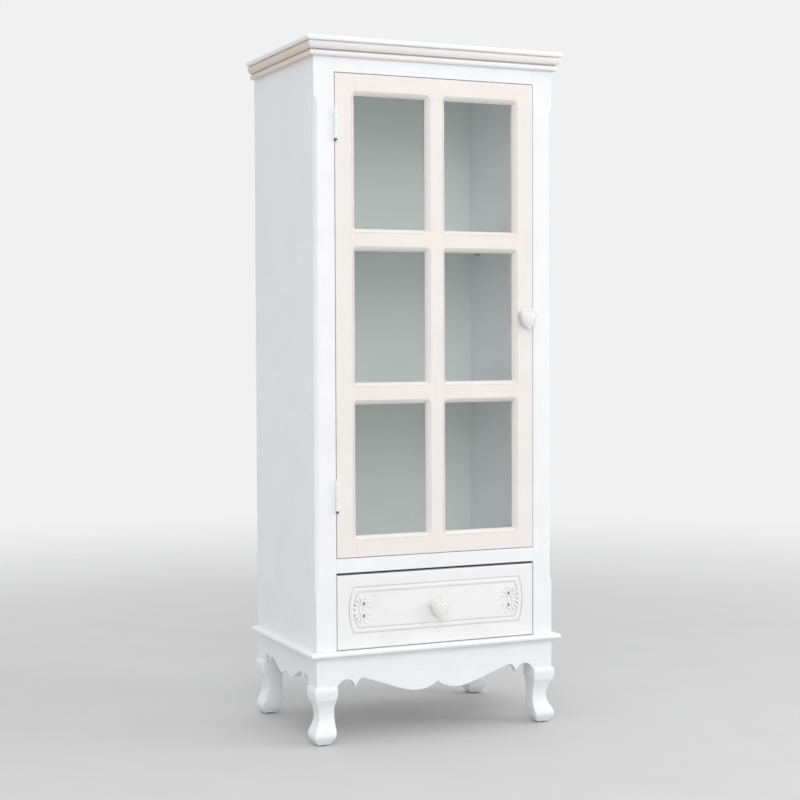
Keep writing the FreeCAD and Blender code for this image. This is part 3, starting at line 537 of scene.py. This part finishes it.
def leg_mesh(node):
    data = frame["nodes"][node].data
    points = np.array([vertex.co for vertex in data.vertices])
    edges = points[np.array([edge.vertices for edge in data.edges])]
    low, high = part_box(node)
    count = round((shoulder - low.z) / slice_step)
    shares = [(place + slice_inset) / (count + 2 * slice_inset) for place in range(count + 1)]
    heights = [low.z + (shoulder - low.z) * share for share in shares]
    post = [shoulder + same_point, high.z - same_point]
    sections = []
    for z in heights + post:
        outline = rounded_outline(*slice_ranges(edges, z), 0.0, corner_round, corner_steps)
        sections.append([(x, y, z) for x, y in outline])
    return smoothed(form_mesh(skin(sections)), 32)


for node in ("front_left_leg", "front_right_leg", "rear_left_leg", "rear_right_leg"):
    piece(node + "_filed", leg_mesh(node), white["z"], node)
print("shoulder", round(shoulder / mm, 1))

# %% [markdown]
# ## Crown moulding
# The crown is a milled strip: a bead, a quirk above it and a bold ovolo under the top board, mitred
# at the two front corners. It could be swept along a path, but a swept section pinches at a sharp
# corner. Here each strip is drawn between two ends, and every point of its section runs out to the
# mitre by as much as it stands out from the case, which is what the mitre saw does.

# %% Crown
def arc_points(start, middle, end, steps):
    """Points of the circle through three points of a plane, first and last included."""
    first, second, third = [complex(*point) for point in (start, middle, end)]
    ratio = (third - first) / (second - first)
    centre = first + (second - first) * (ratio - abs(ratio) ** 2) / (2j * ratio.imag)
    spoke = first - centre
    part, turn = [phase((point - centre) / spoke) % (2 * pi) for point in (second, third)]
    if part > turn:
        turn -= 2 * pi
    points = [centre + spoke * rect(1, turn * step / steps) for step in range(steps + 1)]
    return [(point.real, point.imag) for point in points]


fine_arris = 0.25 * mm
crown_low, crown_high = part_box("crown_front")
case_edge_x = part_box("crown_left")[1].x
back_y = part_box("left_side_panel")[1].y
stand_out = case_edge_x - crown_low.x
crown_rise = crown_high.z - crown_low.z
bead_shares = arc_points((0.3, 0.0), (0.62, 0.18), (0.46, 0.36), 12)
ovolo_shares = arc_points((0.5, 0.42), (0.88, 0.6), (1.0, 0.9), 12)
crown_shares = [(0, 0)] + bead_shares + [(0.4, 0.37), (0.4, 0.42)] + ovolo_shares
crown_shares += [(0.97, 0.92), (0.82, 0.92), (0.82, 1.0), (0, 1)]
crown_section = [(share * stand_out, crown_low.z + rise * crown_rise) for share, rise in crown_shares]


def strip_end(side, mitred):
    """The section at an end of a strip: run out to the mitre in front, cut square at the back."""
    return [(side * (out - case_edge_x), crown_high.y - out if mitred else back_y, z)
            for out, z in crown_section]


crown_front = eased(skin([strip_end(-1, True), strip_end(1, True)]), fine_arris, 2)
piece("crown_front_moulded", crown_front, crown_coat["x"], "crown_front")
for node, side in (("crown_left", -1), ("crown_right", 1)):
    length = eased(skin([strip_end(side, True), strip_end(side, False)]), fine_arris, 2)
    piece(node + "_moulded", length, crown_coat["y"], node)
print("crown stands out", round(stand_out / mm, 1), "rises", round(crown_rise / mm, 1))

# %% [markdown]
# ## Door frame
# The door is a frame of stiles, rails, a mullion and cross bars. The bars look rounded at the corners
# of each pane because a router has run a moulding round every opening. So the members are cut here
# with rounded openings, by Boolean, and the moulding itself follows in the next step. Brush marks
# run along each member: up the stiles, across the rails. The coats of paint have built up on the
# outer edges, so the gap round the door is a little finer than the one that was sawn.

# %% Door openings
bevel_width = 7 * mm
inner_radius = 1 * mm
window_corner_steps = 8
beyond = 4 * mm
glass_air = 0.3 * mm
rebate_gap = Vector((1 * mm, glass_air, 1 * mm))
hinge_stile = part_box("door_hinge_stile")
knob_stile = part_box("door_knob_stile")
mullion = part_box("door_mullion")
door_face_y = hinge_stile[0].y
door_back_y = hinge_stile[1].y
glass_low, glass_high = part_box("door_glass")


def solids(node):
    """The separate solids of a node, each as the list of its points."""
    form = bmesh.new()
    form.from_mesh(frame["nodes"][node].data)
    bmesh.ops.remove_doubles(form, verts=form.verts, dist=same_point)
    left = dict.fromkeys(form.verts)
    groups = []
    while left:
        group = [left.popitem()[0]]
        for vert in group:
            for edge in vert.link_edges:
                other = edge.other_vert(vert)
                if other in left:
                    del left[other]
                    group.append(other)
        groups.append([vert.co.copy() for vert in group])
    form.free()
    return groups


bars = [box_of(points) for points in solids("door_cross_bars")]
bar_zs = sorted({(round(low.z / mm, 2), round(high.z / mm, 2)) for low, high in bars})
row_edges = [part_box("door_bottom_rail")[1].z] + [edge * mm for pair in bar_zs for edge in pair]
row_edges += [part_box("door_top_rail")[0].z]
rows = list(zip(row_edges[::2], row_edges[1::2]))
columns = [(hinge_stile[1].x, mullion[0].x), (mullion[1].x, knob_stile[0].x)]
windows = [(column, row) for column in columns for row in rows]


def prism(outline, y0, y1):
    """A closed form with one outline of x and z in front and behind."""
    return skin([[(x, y, z) for x, z in outline] for y in (y0, y1)])


def box_form(low, high):
    return prism([(low.x, low.z), (high.x, low.z), (high.x, high.z), (low.x, high.z)], low.y, high.y)


def joined(meshes):
    """One mesh of several, which then go."""
    form = bmesh.new()
    for mesh in meshes:
        form.from_mesh(mesh)
        bpy.data.meshes.remove(mesh)
    return form_mesh(form)


outer_radius = bevel_width + inner_radius
outlines = [rounded_outline(*window, bevel_width, outer_radius, window_corner_steps) for window in windows]
openings = joined([form_mesh(prism(outline, door_face_y - beyond, door_back_y + beyond))
                   for outline in outlines])
rebate = box_form(glass_low - rebate_gap, glass_high + rebate_gap + Vector((0, 2 * beyond, 0)))
cutters = [link("openings", openings), link("rebate", form_mesh(rebate))]
print("windows", len(windows), "rows", [[round(z / mm) for z in row] for row in rows])

# %% Door members
door_arris = 0.6 * mm
joint_arris = 0.08 * mm
joint_reach = 5 * same_point
coat_build = 0.9 * mm
strip = 7 * mm
strip_joint = 0.1 * mm


def cut_out(board, cutter):
    """Takes a cutter's shape out of a board."""
    cut = board.modifiers.new(cutter.name, "BOOLEAN")
    cut.object = cutter
    cut.solver = "EXACT"


def door_member(low, high):
    """A board of the door with the openings and the glass rebate cut out."""
    board = link("board", form_mesh(box_form(low, high)))
    for cutter in cutters:
        cut_out(board, cutter)
    return merged(plain_mesh(board))


def butted(low, high):
    """A member eased all round but at its butted ends, whose hairline the paint has nearly filled."""
    def arris(point):
        to_joint = min(abs(point.x - end) for end in (low.x, high.x))
        return joint_arris if to_joint < joint_reach else door_arris
    return eased(door_member(low, high), arris)


for node, left, right in (("door_hinge_stile", 1, 0), ("door_knob_stile", 0, 1)):
    low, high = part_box(node)
    low = low - Vector((left, 0, 1)) * coat_build
    high = high + Vector((right, 0, 1)) * coat_build
    piece(node + "_routed", eased(door_member(low, high), door_arris), ivory["z"], node)
for node, up in (("door_top_rail", 1), ("door_bottom_rail", 0)):
    low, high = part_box(node)
    low = low - Vector((0, 0, 1 - up)) * coat_build
    high = high + Vector((0, 0, up)) * coat_build
    piece(node + "_routed", butted(low, high), ivory["x"], node)
piece("door_mullion_routed", eased(door_member(*mullion), door_arris), ivory["z"], "door_mullion")
bar_mesh = joined([butted(low, high) for low, high in bars])
piece("door_cross_bars_routed", bar_mesh, ivory["x"], "door_cross_bars")
for cutter in cutters:
    bpy.data.objects.remove(cutter)

low = glass_low - rebate_gap
high = glass_high + rebate_gap
strips = [(x, x + strip, low.z, high.z) for x in (low.x, high.x - strip)]
strips += [(low.x + strip + strip_joint, high.x - strip - strip_joint, z, z + strip)
           for z in (low.z, high.z - strip)]
strip_forms = [box_form(Vector((x0, high.y, z0)), Vector((x1, door_back_y, z1))) for x0, x1, z0, z1 in strips]
strip_mesh = joined([eased(form, thin_arris) for form in strip_forms])
piece("glass_beads_planed", strip_mesh, ivory["z"], "glass_beads")
print("door bars", len(bars), "strips", len(strips))

# %% [markdown]
# ## Glazing moulding, with Geometry Nodes
# Round every pane runs the same section: a quirk at the outside, then an ovolo, then a small fillet
# down to the glass. It repeats six times along a rounded rectangle, so it suits Geometry Nodes: the
# tree draws the path, sweeps the section along it, sets a copy on each point of a grid and makes
# them real. Its sizes are named inputs that the script fills from the frame.

# %% Geometry Nodes helpers
def new_tree(name, sizes):
    """A tree with a geometry input, named inputs for its sizes, and a finish."""
    tree = bpy.data.node_groups.new(name, "GeometryNodeTree")
    tree.interface.new_socket("Geometry", in_out="INPUT", socket_type="NodeSocketGeometry")
    tree.interface.new_socket("Geometry", in_out="OUTPUT", socket_type="NodeSocketGeometry")
    for size, value in sizes.items():
        kind = "NodeSocketInt" if isinstance(value, int) else "NodeSocketFloat"
        tree.interface.new_socket(size, in_out="INPUT", socket_type=kind)
    tree.interface.new_socket("Finish", in_out="INPUT", socket_type="NodeSocketMaterial")
    return tree, add(tree, "NodeGroupInput")


def end_tree(tree, geometry, finish):
    """Every tree ends alike: instances made real, then the material."""
    real = add(tree, "GeometryNodeRealizeInstances", {"Geometry": geometry})[0]
    painted = add(tree, "GeometryNodeSetMaterial", {"Geometry": real, "Material": finish})[0]
    add(tree, "NodeGroupOutput", {"Geometry": painted})


def grown(mesh, tree, sizes, finish):
    """Runs a tree on a mesh and returns the result as a plain mesh."""
    holder = link("grown", mesh)
    modifier = holder.modifiers.new(tree.name, "NODES")
    modifier.node_group = tree
    values = {**sizes, "Finish": finish}
    for item in tree.interface.items_tree:
        if item.in_out == "INPUT" and item.name in values:
            modifier[item.identifier] = values[item.name]
    return plain_mesh(holder)


def wire(points, edges=()):
    """A mesh of points, joined by edges, for a tree to work on."""
    mesh = bpy.data.meshes.new("wire")
    mesh.from_pydata(points, edges, [])
    return mesh


def loop(points):
    """A closed line through points."""
    return wire(points, [(place, (place + 1) % len(points)) for place in range(len(points))])


def stood_up(mesh, place, angle):
    """Turns a mesh that was drawn lying flat to face the front, at a place, and smooths it."""
    mesh.transform(Matrix.Translation(place) @ Matrix.Rotation(pi / 2, 4, "X"))
    return smoothed(mesh, angle)


def in_mm(box):
    return [[round(value / mm, 1) for value in corner] for corner in box]


def extra(name, mesh, body, slot):
    """Shows a mesh that has no CAD node of its own, on the body that carries it."""
    mesh.name = name
    shown = link(name, mesh)
    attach(shown, body)
    print(name, in_mm(box_of([vert.co for vert in mesh.vertices])))


# %% Glazing moulding
quirk_width = 0.9 * mm
quirk_depth = 1.2 * mm
bar_depth = glass_low.y - glass_air - door_face_y
moulding_sizes = {
    "Window Width": columns[0][1] - columns[0][0],
    "Window Height": rows[0][1] - rows[0][0],
    "Corner Radius": inner_radius,
    "Column Step": columns[1][0] - columns[0][0],
    "Row Step": rows[1][0] - rows[0][0],
    "Columns": len(columns),
    "Rows": len(rows),
}
tree, sizes = new_tree("glazing_moulding", moulding_sizes)
section = add(tree, "GeometryNodeMeshToCurve", {"Mesh": sizes["Geometry"]})[0]
frame_line = add(tree, "GeometryNodeCurvePrimitiveQuadrilateral",
                 {"Width": sizes["Window Width"], "Height": sizes["Window Height"]})[0]
corners = {"Curve": frame_line, "Count": window_corner_steps - 1, "Radius": sizes["Corner Radius"]}
rounded = add(tree, "GeometryNodeFilletCurve", corners, mode="POLY")[0]
upright = add(tree, "GeometryNodeSetCurveNormal", {"Curve": rounded}, mode="Z_UP")[0]
swept = add(tree, "GeometryNodeCurveToMesh", {"Curve": upright, "Profile Curve": section})[0]
reach = []
for count, step in (("Columns", "Column Step"), ("Rows", "Row Step")):
    gaps = add(tree, "ShaderNodeMath", {0: sizes[count], 1: -1.0}, operation="ADD")[0]
    reach.append(add(tree, "ShaderNodeMath", {0: gaps, 1: sizes[step]}, operation="MULTIPLY")[0])
grid = {"Size X": reach[0], "Size Y": reach[1], "Vertices X": sizes["Columns"], "Vertices Y": sizes["Rows"]}
panes = add(tree, "GeometryNodeMeshGrid", grid)[0]
copies = add(tree, "GeometryNodeInstanceOnPoints", {"Points": panes, "Instance": swept})[0]
end_tree(tree, copies, sizes["Finish"])

ovolo_edge = bevel_width - quirk_width
ovolo = arc_points((ovolo_edge, 0.35 * mm), (3.2 * mm, 2.9 * mm), (1.0 * mm, 6.3 * mm), 10)
moulding_section = [(bevel_width, bar_depth), (bevel_width, quirk_depth), (ovolo_edge, quirk_depth)] + ovolo
moulding_section += [(1.0 * mm, 7.0 * mm), (0.1 * mm, 7.6 * mm), (0, 8 * mm), (0, bar_depth)]
section_line = loop([(out, depth, 0) for out, depth in reversed(moulding_section)])
mouldings = grown(section_line, tree, moulding_sizes, ivory["z"])
middle = Vector(((columns[0][0] + columns[1][1]) / 2, door_face_y, (rows[0][0] + rows[-1][1]) / 2))
extra("glazing_mouldings", stood_up(mouldings, middle, 40), "door", "ivory_paint")

# %% Glass
pane = frame["nodes"]["door_glass"]
pane.data.materials[0] = glass
pane.visible_shadow = False
print("glass thickness", round((glass_high.y - glass_low.y) / mm, 1))

# %% [markdown]
# ## Drawer front
# The drawer front has rounded edges and a sunk line that frames its field, with a bead lying in the
# line. Four small eyes are drilled where the carving is pierced, by Boolean. The bead follows a path,
# so it is swept by Geometry Nodes, along the middle of the line.

# %% Drawer front
front_low, front_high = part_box("drawer_front")
front_arris = 2.2 * mm
crisp_arris = 0.3 * mm
edge_build = 1.1 * mm
line_margin = Vector((27, 25.2, 20.2)) * mm
ornament_x = 138.2 * mm
eye_rise = 10.4 * mm
eye_hole = Vector((1.9, 3.2)) * mm
eye_depth = 4 * mm
eye_sides = 24


def front_edges(point):
    """Wide rounds along the outer edges of the face, and crisp ones elsewhere."""
    outer = min(point.x - front_low.x, front_high.x - point.x, point.z - front_low.z, front_high.z - point.z)
    return front_arris if outer < joint_reach and point.y < front_low.y + same_point else crisp_arris


front_form = merged(frame["nodes"]["drawer_front"].data)
for vert in front_form.verts:
    if vert.co.x < front_low.x + same_point:
        vert.co.x -= edge_build
    if vert.co.x > front_high.x - same_point:
        vert.co.x += edge_build
    if vert.co.z < front_low.z + same_point:
        vert.co.z -= edge_build
field_z = (front_low.z + front_high.z + line_margin.y - line_margin.z) / 2
turns = [2 * pi * step / eye_sides for step in range(eye_sides)]
holes = []
for side in (-1, 1):
    for up in (-1, 1):
        ring = [(side * ornament_x + eye_hole.x * cos(turn), field_z + up * eye_rise + eye_hole.y * sin(turn))
                for turn in turns]
        holes.append(form_mesh(prism(ring, front_low.y - eye_depth, front_low.y + eye_depth)))
front_board = link("front_board", eased(front_form, front_edges))
drill = link("drill", joined(holes))
cut_out(front_board, drill)
piece("drawer_front_eased", flat_shaded(plain_mesh(front_board)), drawer_coat, "drawer_front")
bpy.data.objects.remove(drill)
print("eyes", len(holes))

# %% Drawer bead
bead_sink = 1.1 * mm
line_width = 10.8 * mm
line_bow = 7 * mm


def line_path(inset, steps=24):
    """The line on the drawer front, inset from its outer edge: straight along, bowed at the ends."""
    x = front_high.x - line_margin.x - inset
    low = front_low.z + line_margin.y + inset
    high = front_high.z - line_margin.z - inset
    centre = (low + high) / 2
    right_end = arc_points((x, high), (x + line_bow, centre), (x, low), steps)
    return right_end + [(-px, pz) for px, pz in reversed(right_end)]


def upright_line(tree, mesh):
    """A mesh line as a curve, along which sections stay upright."""
    line = add(tree, "GeometryNodeMeshToCurve", {"Mesh": mesh})[0]
    return add(tree, "GeometryNodeSetCurveNormal", {"Curve": line}, mode="Z_UP")[0]


def end_flattened(tree, geometry, sizes):
    """Presses geometry that lies on a board flatter, and ends its tree."""
    squash = add(tree, "ShaderNodeCombineXYZ", {"X": 1.0, "Y": 1.0, "Z": sizes["Flatness"]})[0]
    flat = add(tree, "GeometryNodeTransform", {"Geometry": geometry, "Scale": squash})[0]
    end_tree(tree, flat, sizes["Finish"])


bead_sizes = {"Bead Radius": 4.3 * mm, "Flatness": 0.4}
tree, sizes = new_tree("drawer_bead", bead_sizes)
line = upright_line(tree, sizes["Geometry"])
section = add(tree, "GeometryNodeCurvePrimitiveCircle", {"Resolution": 16, "Radius": sizes["Bead Radius"]})[0]
rod = add(tree, "GeometryNodeCurveToMesh", {"Curve": line, "Profile Curve": section})[0]
end_flattened(tree, rod, sizes)
bead = grown(loop([(x, z, 0) for x, z in line_path(line_width / 2)]), tree, bead_sizes, drawer_coat)
extra("drawer_bead", stood_up(bead, (0, front_low.y + bead_sink, 0), 60), "drawer", "drawer_paint")

# %% [markdown]
# ## Carved ornaments
# At each end of the field sits a carved palmette, an old and common pattern: a fan of petals towards
# the edge, two pierced scrolls that make its spine, and small sprays of leaves towards the knob. A
# carver cuts each petal as one round stroke. So the ornament is written down as strokes between two
# places, in millimetres out from the spine and up from its middle, and a tree of nodes gives every
# stroke its round body, with a girth that an attribute sets along the way.

# %% Carving
stroke_steps = 14
fan_middle = 3.4
fan_roots = Vector((6.2, 10.5))
fan_tips = Vector((17.6, 23.6))
fan_angles = [radians(angle) for angle in (11.5, 34.5, 57.5, 80.5)]
sprays = [((-3.4, 2.4), (-15.4, 7.6)), ((-4.4, 9.4), (-11.0, 15.0)), ((-1.8, 16.4), (-4.8, 23.2))]
eye_radii = (3.7, 5.2)
petal_size = 2.55
spray_size = 2.2
rim_size = 1.7
core_size = 1.5
carving_sink = 0.2 * mm


def stroke(start, end, bow=0.0):
    """Points from one place to another, bowed to one side by a share of the way."""
    start, end = Vector(start), Vector(end)
    across = (end - start).orthogonal()
    shares = [step / stroke_steps for step in range(stroke_steps + 1)]
    return [start.lerp(end, share) + across * bow * 4 * share * (1 - share) for share in shares]


def petal_girth(share):
    """Fine at the root, fullest near the tip."""
    return max(0.3, sin(pi * share ** 2) ** 0.5)


def even_girth(share):
    return 1.0


strokes = []
for up in (1, -1):
    for angle in fan_angles:
        root, tip = [Vector((fan_middle + reach.x * cos(angle), up * reach.y * sin(angle)))
                     for reach in (fan_roots, fan_tips)]
        strokes.append((stroke(root, tip, 0.05 * up), petal_size, petal_girth))
    for (root_x, root_z), (tip_x, tip_z) in sprays:
        leaf = stroke((root_x, up * root_z), (tip_x, up * tip_z), -0.1 * up)
        strokes.append((leaf, spray_size, petal_girth))
    eye_z = up * eye_rise / mm
    eye = [Vector((eye_radii[0] * cos(turn), eye_z + eye_radii[1] * sin(turn))) for turn in turns]
    strokes.append((eye + eye[:1], rim_size, even_girth))
strokes.append((stroke((4.2, 8.6), (4.2, -8.6), 0.19), rim_size, even_girth))
strokes.append((stroke((0.4, 5.0), (0.4, -5.0), -0.1), core_size, even_girth))

carving_sizes = {"Flatness": 0.95}
tree, sizes = new_tree("carved_strokes", carving_sizes)
line = upright_line(tree, sizes["Geometry"])
girth = add(tree, "GeometryNodeInputNamedAttribute", {"Name": "girth"}, data_type="FLOAT")[0]
thick = add(tree, "GeometryNodeSetCurveRadius", {"Curve": line, "Radius": girth})[0]
section = add(tree, "GeometryNodeCurvePrimitiveCircle", {"Resolution": 12, "Radius": 1.0})[0]
body = add(tree, "GeometryNodeCurveToMesh",
           {"Curve": thick, "Profile Curve": section, "Scale": girth, "Fill Caps": True})[0]
end_flattened(tree, body, sizes)

points = []
edges = []
girths = []
for side in (-1, 1):
    for line, thickness, girth_at in strokes:
        first = len(points)
        last = len(line) - 1
        for step, spot in enumerate(line):
            points.append((side * (ornament_x + spot.x * mm), spot.y * mm, 0))
            girths.append(thickness * mm * girth_at(step / last))
        edges += [(first + step, first + step + 1) for step in range(last)]
stroke_mesh = wire(points, edges)
stroke_mesh.attributes.new("girth", "FLOAT", "POINT").data.foreach_set("value", girths)
carving = grown(stroke_mesh, tree, carving_sizes, carving_coat)
carving = stood_up(carving, (0, front_low.y + carving_sink, field_z), 60)
extra("drawer_carving", carving, "drawer", "drawer_paint")

# %% [markdown]
# ## Heart knobs
# Each knob is a plump heart of painted wood on a short stem. The outline is four arcs. Rings of that
# outline shrink towards the back and the front along a rounded section, like the slices of a pillow,
# so that the rim is full. A crease inside the rim sets off a smaller heart, which is gently domed.

# %% Knobs
outline_steps = 14
knob_stem = 4 * mm
stem_sides = 32
pillow_shares = [(0, 0.62), (0.05, 0.78), (0.14, 0.9), (0.27, 0.975), (0.4, 1.0), (0.52, 0.99), (0.64, 0.955),
                 (0.75, 0.905), (0.82, 0.865), (0.855, 0.82), (0.86, 0.785), (0.847, 0.755), (0.828, 0.735),
                 (0.826, 0.712), (0.845, 0.688), (0.885, 0.65), (0.93, 0.575), (0.965, 0.45), (0.985, 0.3),
                 (1.0, 0.12)]
stem_profile = [(6.5, 0.0), (6.5, 0.8), (5.6, 1.8), (5.4, 3.0), (6.2, 4.4), (6.2, 6.0)]


def heart_outline():
    """Half a heart from the notch to the tip, then its mirror image; shares of width and height."""
    half = arc_points((0.0, 0.42), (0.27, 0.5), (0.5, 0.17), outline_steps)
    half += arc_points((0.5, 0.17), (0.35, -0.2), (0.0, -0.5), outline_steps)[1:]
    return half + [(-x, z) for x, z in reversed(half[1:-1])]


def knob_form(node):
    low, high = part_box(node)
    centre = (low + high) / 2
    width = high.x - low.x
    height = high.z - low.z
    stem_end = high.y - knob_stem
    outline = [(x * width, z * height) for x, z in heart_outline()]
    spokes = [2 * pi * step / stem_sides for step in range(stem_sides)]
    circle = [(cos(spoke), sin(spoke)) for spoke in spokes]
    form = bmesh.new()

    def ring(points, size, y):
        return [form.verts.new((centre.x + x * size, y, centre.z + z * size)) for x, z in points]

    heart = [ring(outline, size, stem_end - (stem_end - low.y) * depth) for depth, size in pillow_shares]
    stitch(form, heart)
    for y, edge in ((stem_end, heart[0]), (low.y, heart[-1])):
        pole = form.verts.new((centre.x, y, centre.z))
        for place in range(len(edge)):
            form.faces.new((pole, edge[place], edge[(place + 1) % len(edge)]))
    stem = [ring(circle, radius * mm, high.y - out * mm) for radius, out in stem_profile]
    stitch(form, stem)
    form.faces.new(stem[0])
    form.faces.new(stem[-1])
    bmesh.ops.recalc_face_normals(form, faces=form.faces)
    return form


for node in ("door_knob", "drawer_knob"):
    piece(node + "_heart", smoothed(form_mesh(knob_form(node)), 50), enamel, node)

# %% [markdown]
# ## Drawer box and runners
# Behind the painted front, the drawer is bare pine with a plywood bottom, running on pine strips.

# %% Drawer box
dress(pine["y"], thin_arris, "drawer_left_side", "drawer_right_side", "drawer_runners")
dress(pine["x"], thin_arris, "drawer_back")
dress(plywood, thin_arris, "drawer_bottom")
for node in ("face_frame_dowels", "door_dowels"):
    frame["nodes"][node].data.materials[0] = pine["x"]

# %% [markdown]
# ## Hinges, catch and pins
# The butt hinges are painted with the case; the balls at the lower ends of their pins are dark steel,
# as painted shade beneath each hinge. A magnet catch of moulded plastic holds the door.

# %% Hinges and catch
metal_arris = 0.2 * mm
dress(white["z"], metal_arris, "hinge_frame_leaves", "hinge_door_leaves")


def pin_ends(up):
    """Upper or lower halves of the hinge pins, as one mesh."""
    halves = []
    for points in solids("hinge_pins"):
        low, high = box_of(points)
        form = merged(frame["nodes"]["hinge_pins"].data)
        others = [vert for vert in form.verts if not low.z - same_point < vert.co.z < high.z + same_point]
        bmesh.ops.delete(form, geom=others, context="VERTS")
        everything = form.verts[:] + form.edges[:] + form.faces[:]
        bmesh.ops.bisect_plane(form, geom=everything, plane_co=(low + high) / 2, plane_no=(0, 0, up),
                               clear_inner=True)
        bmesh.ops.holes_fill(form, edges=form.edges)
        halves.append(form_mesh(form))
    return smoothed(joined(halves), 40)


# Painted shade: the lower pin ends are dark steel, the upper ends white paint
piece("hinge_pins_lower_painted_shade", pin_ends(-1), shaded_steel, "hinge_pins")
painted_ends = pin_ends(1)
painted_ends.materials.append(white["z"])
extra("hinge_pins_painted", painted_ends, "cabinet", slot_of["hinge_pins"])
dress(catch_resin, thin_arris, "magnet_catch")
dress(zinc, metal_arris, "catch_strike", "shelf_pins")
print("hinges", len(solids("hinge_pins")))

# %% [markdown]
# ## Screws, nails and bolts, with Geometry Nodes
# Small fasteners repeat, so one tree makes them all: a cone for the head, a cylinder for the shank, a
# cross cut out of the head of a screw, and a copy set on each point that the frame gives. The points
# are the middles of the CAD heads, and an attribute gives the way that each shank runs.

# %% Fasteners
fastener_inputs = dict.fromkeys(("Head Radius", "Head Height", "Shank Radius", "Length", "Recess"), 0.0)
screws, sizes = new_tree("fasteners", fastener_inputs)
head = add(screws, "GeometryNodeMeshCone",
           {"Vertices": 24, "Radius Top": sizes["Shank Radius"], "Radius Bottom": sizes["Head Radius"],
            "Depth": sizes["Head Height"]})["Mesh"]
shank = add(screws, "GeometryNodeMeshCylinder",
            {"Vertices": 12, "Radius": sizes["Shank Radius"], "Depth": sizes["Length"]})["Mesh"]
half_length = add(screws, "ShaderNodeMath", {0: sizes["Length"], 1: 0.5}, operation="MULTIPLY")[0]
inwards = add(screws, "ShaderNodeCombineXYZ", {"Z": half_length})[0]
set_in = add(screws, "GeometryNodeTransform", {"Geometry": shank, "Translation": inwards})[0]
cut_head = add(screws, "GeometryNodeMeshBoolean", {"Mesh 1": head}, operation="DIFFERENCE", solver="MANIFOLD")
long_side = add(screws, "ShaderNodeMath", {0: sizes["Head Radius"], 1: 1.15}, operation="MULTIPLY")[0]
for x_side, y_side, depth_share in ((long_side, sizes["Recess"], 1.1), (sizes["Recess"], long_side, 0.9)):
    deep_side = add(screws, "ShaderNodeMath", {0: sizes["Head Height"], 1: depth_share},
                    operation="MULTIPLY")[0]
    bar_size = add(screws, "ShaderNodeCombineXYZ", {"X": x_side, "Y": y_side, "Z": deep_side})[0]
    bar = add(screws, "GeometryNodeMeshCube", {"Size": bar_size})["Mesh"]
    fill(cut_head["Mesh"].node, {"Mesh 2": bar})
is_screw = add(screws, "ShaderNodeMath", {0: sizes["Recess"], 1: 0.0}, operation="GREATER_THAN")[0]
choice = {"Switch": is_screw, "False": head, "True": cut_head["Mesh"]}
whole_head = add(screws, "GeometryNodeSwitch", choice, input_type="GEOMETRY")[0]
fastener = add(screws, "GeometryNodeJoinGeometry", {"Geometry": whole_head})
fill(fastener[0].node, {"Geometry": set_in})
inward = add(screws, "GeometryNodeInputNamedAttribute", {"Name": "inward"}, data_type="FLOAT_VECTOR")[0]
facing = add(screws, "FunctionNodeAlignRotationToVector", {"Vector": inward}, axis="Z")[0]
copies = add(screws, "GeometryNodeInstanceOnPoints",
             {"Points": sizes["Geometry"], "Instance": fastener[0], "Rotation": facing})[0]
end_tree(screws, copies, sizes["Finish"])


def fasten(node, outward, head_radius, head_height, shank_radius, recess):
    """Fasteners in place of a CAD node; outward gives the way that a head looks, from its place."""
    heads = []
    ways = []
    for group in solids(node):
        centre = sum(group, Vector()) / len(group)
        way = Vector(outward(centre)).normalized()
        heights = [point.dot(way) for point in group]
        face = [point for point, height in zip(group, heights) if height > max(heights) - same_point]
        heads.append(sum(face, Vector()) / len(face))
        ways += list(-way)
    length = max(heights) - min(heights)
    mesh = wire(heads)
    mesh.attributes.new("inward", "FLOAT_VECTOR", "POINT").data.foreach_set("vector", ways)
    measures = (head_radius * mm, head_height * mm, shank_radius * mm, length, recess * mm)
    made = grown(mesh, screws, dict(zip(fastener_inputs, measures)), zinc)
    piece(node + "_turned", smoothed(made, 30), zinc, node)
    print(node, len(heads), "of length", round(length / mm, 1))


fasten("back_panel_nails", lambda spot: (0, 1, 0), 2.2, 0.8, 0.8, 0.0)
fasten("base_screws", lambda spot: (0, 0, -1), 3.4, 2.4, 1.8, 1.1)
fasten("runner_screws", lambda spot: (-spot.x, 0, 0), 3.4, 2.4, 1.8, 1.1)
fasten("hinge_frame_screws", lambda spot: (1, 0, 0), 2.4, 0.55, 1.3, 0.8)
fasten("hinge_door_screws", lambda spot: (-1, 0, 0), 2.4, 0.55, 1.3, 0.8)
fasten("catch_screws", lambda spot: (0, 1, 0), 2.4, 1.4, 1.3, 0.8)
for node in ("door_knob_screw", "drawer_knob_screw"):
    fasten(node, lambda spot: (0, 1, 0), 4.0, 2.0, 2.0, 1.4)
fasten("leg_bolts", lambda spot: (-spot.x / abs(spot.x), -spot.y / abs(spot.y), 0), 5.5, 4.5, 3.0, 0.0)

# %% Finish
visual_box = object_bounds()
print("visual box", in_mm(visual_box))
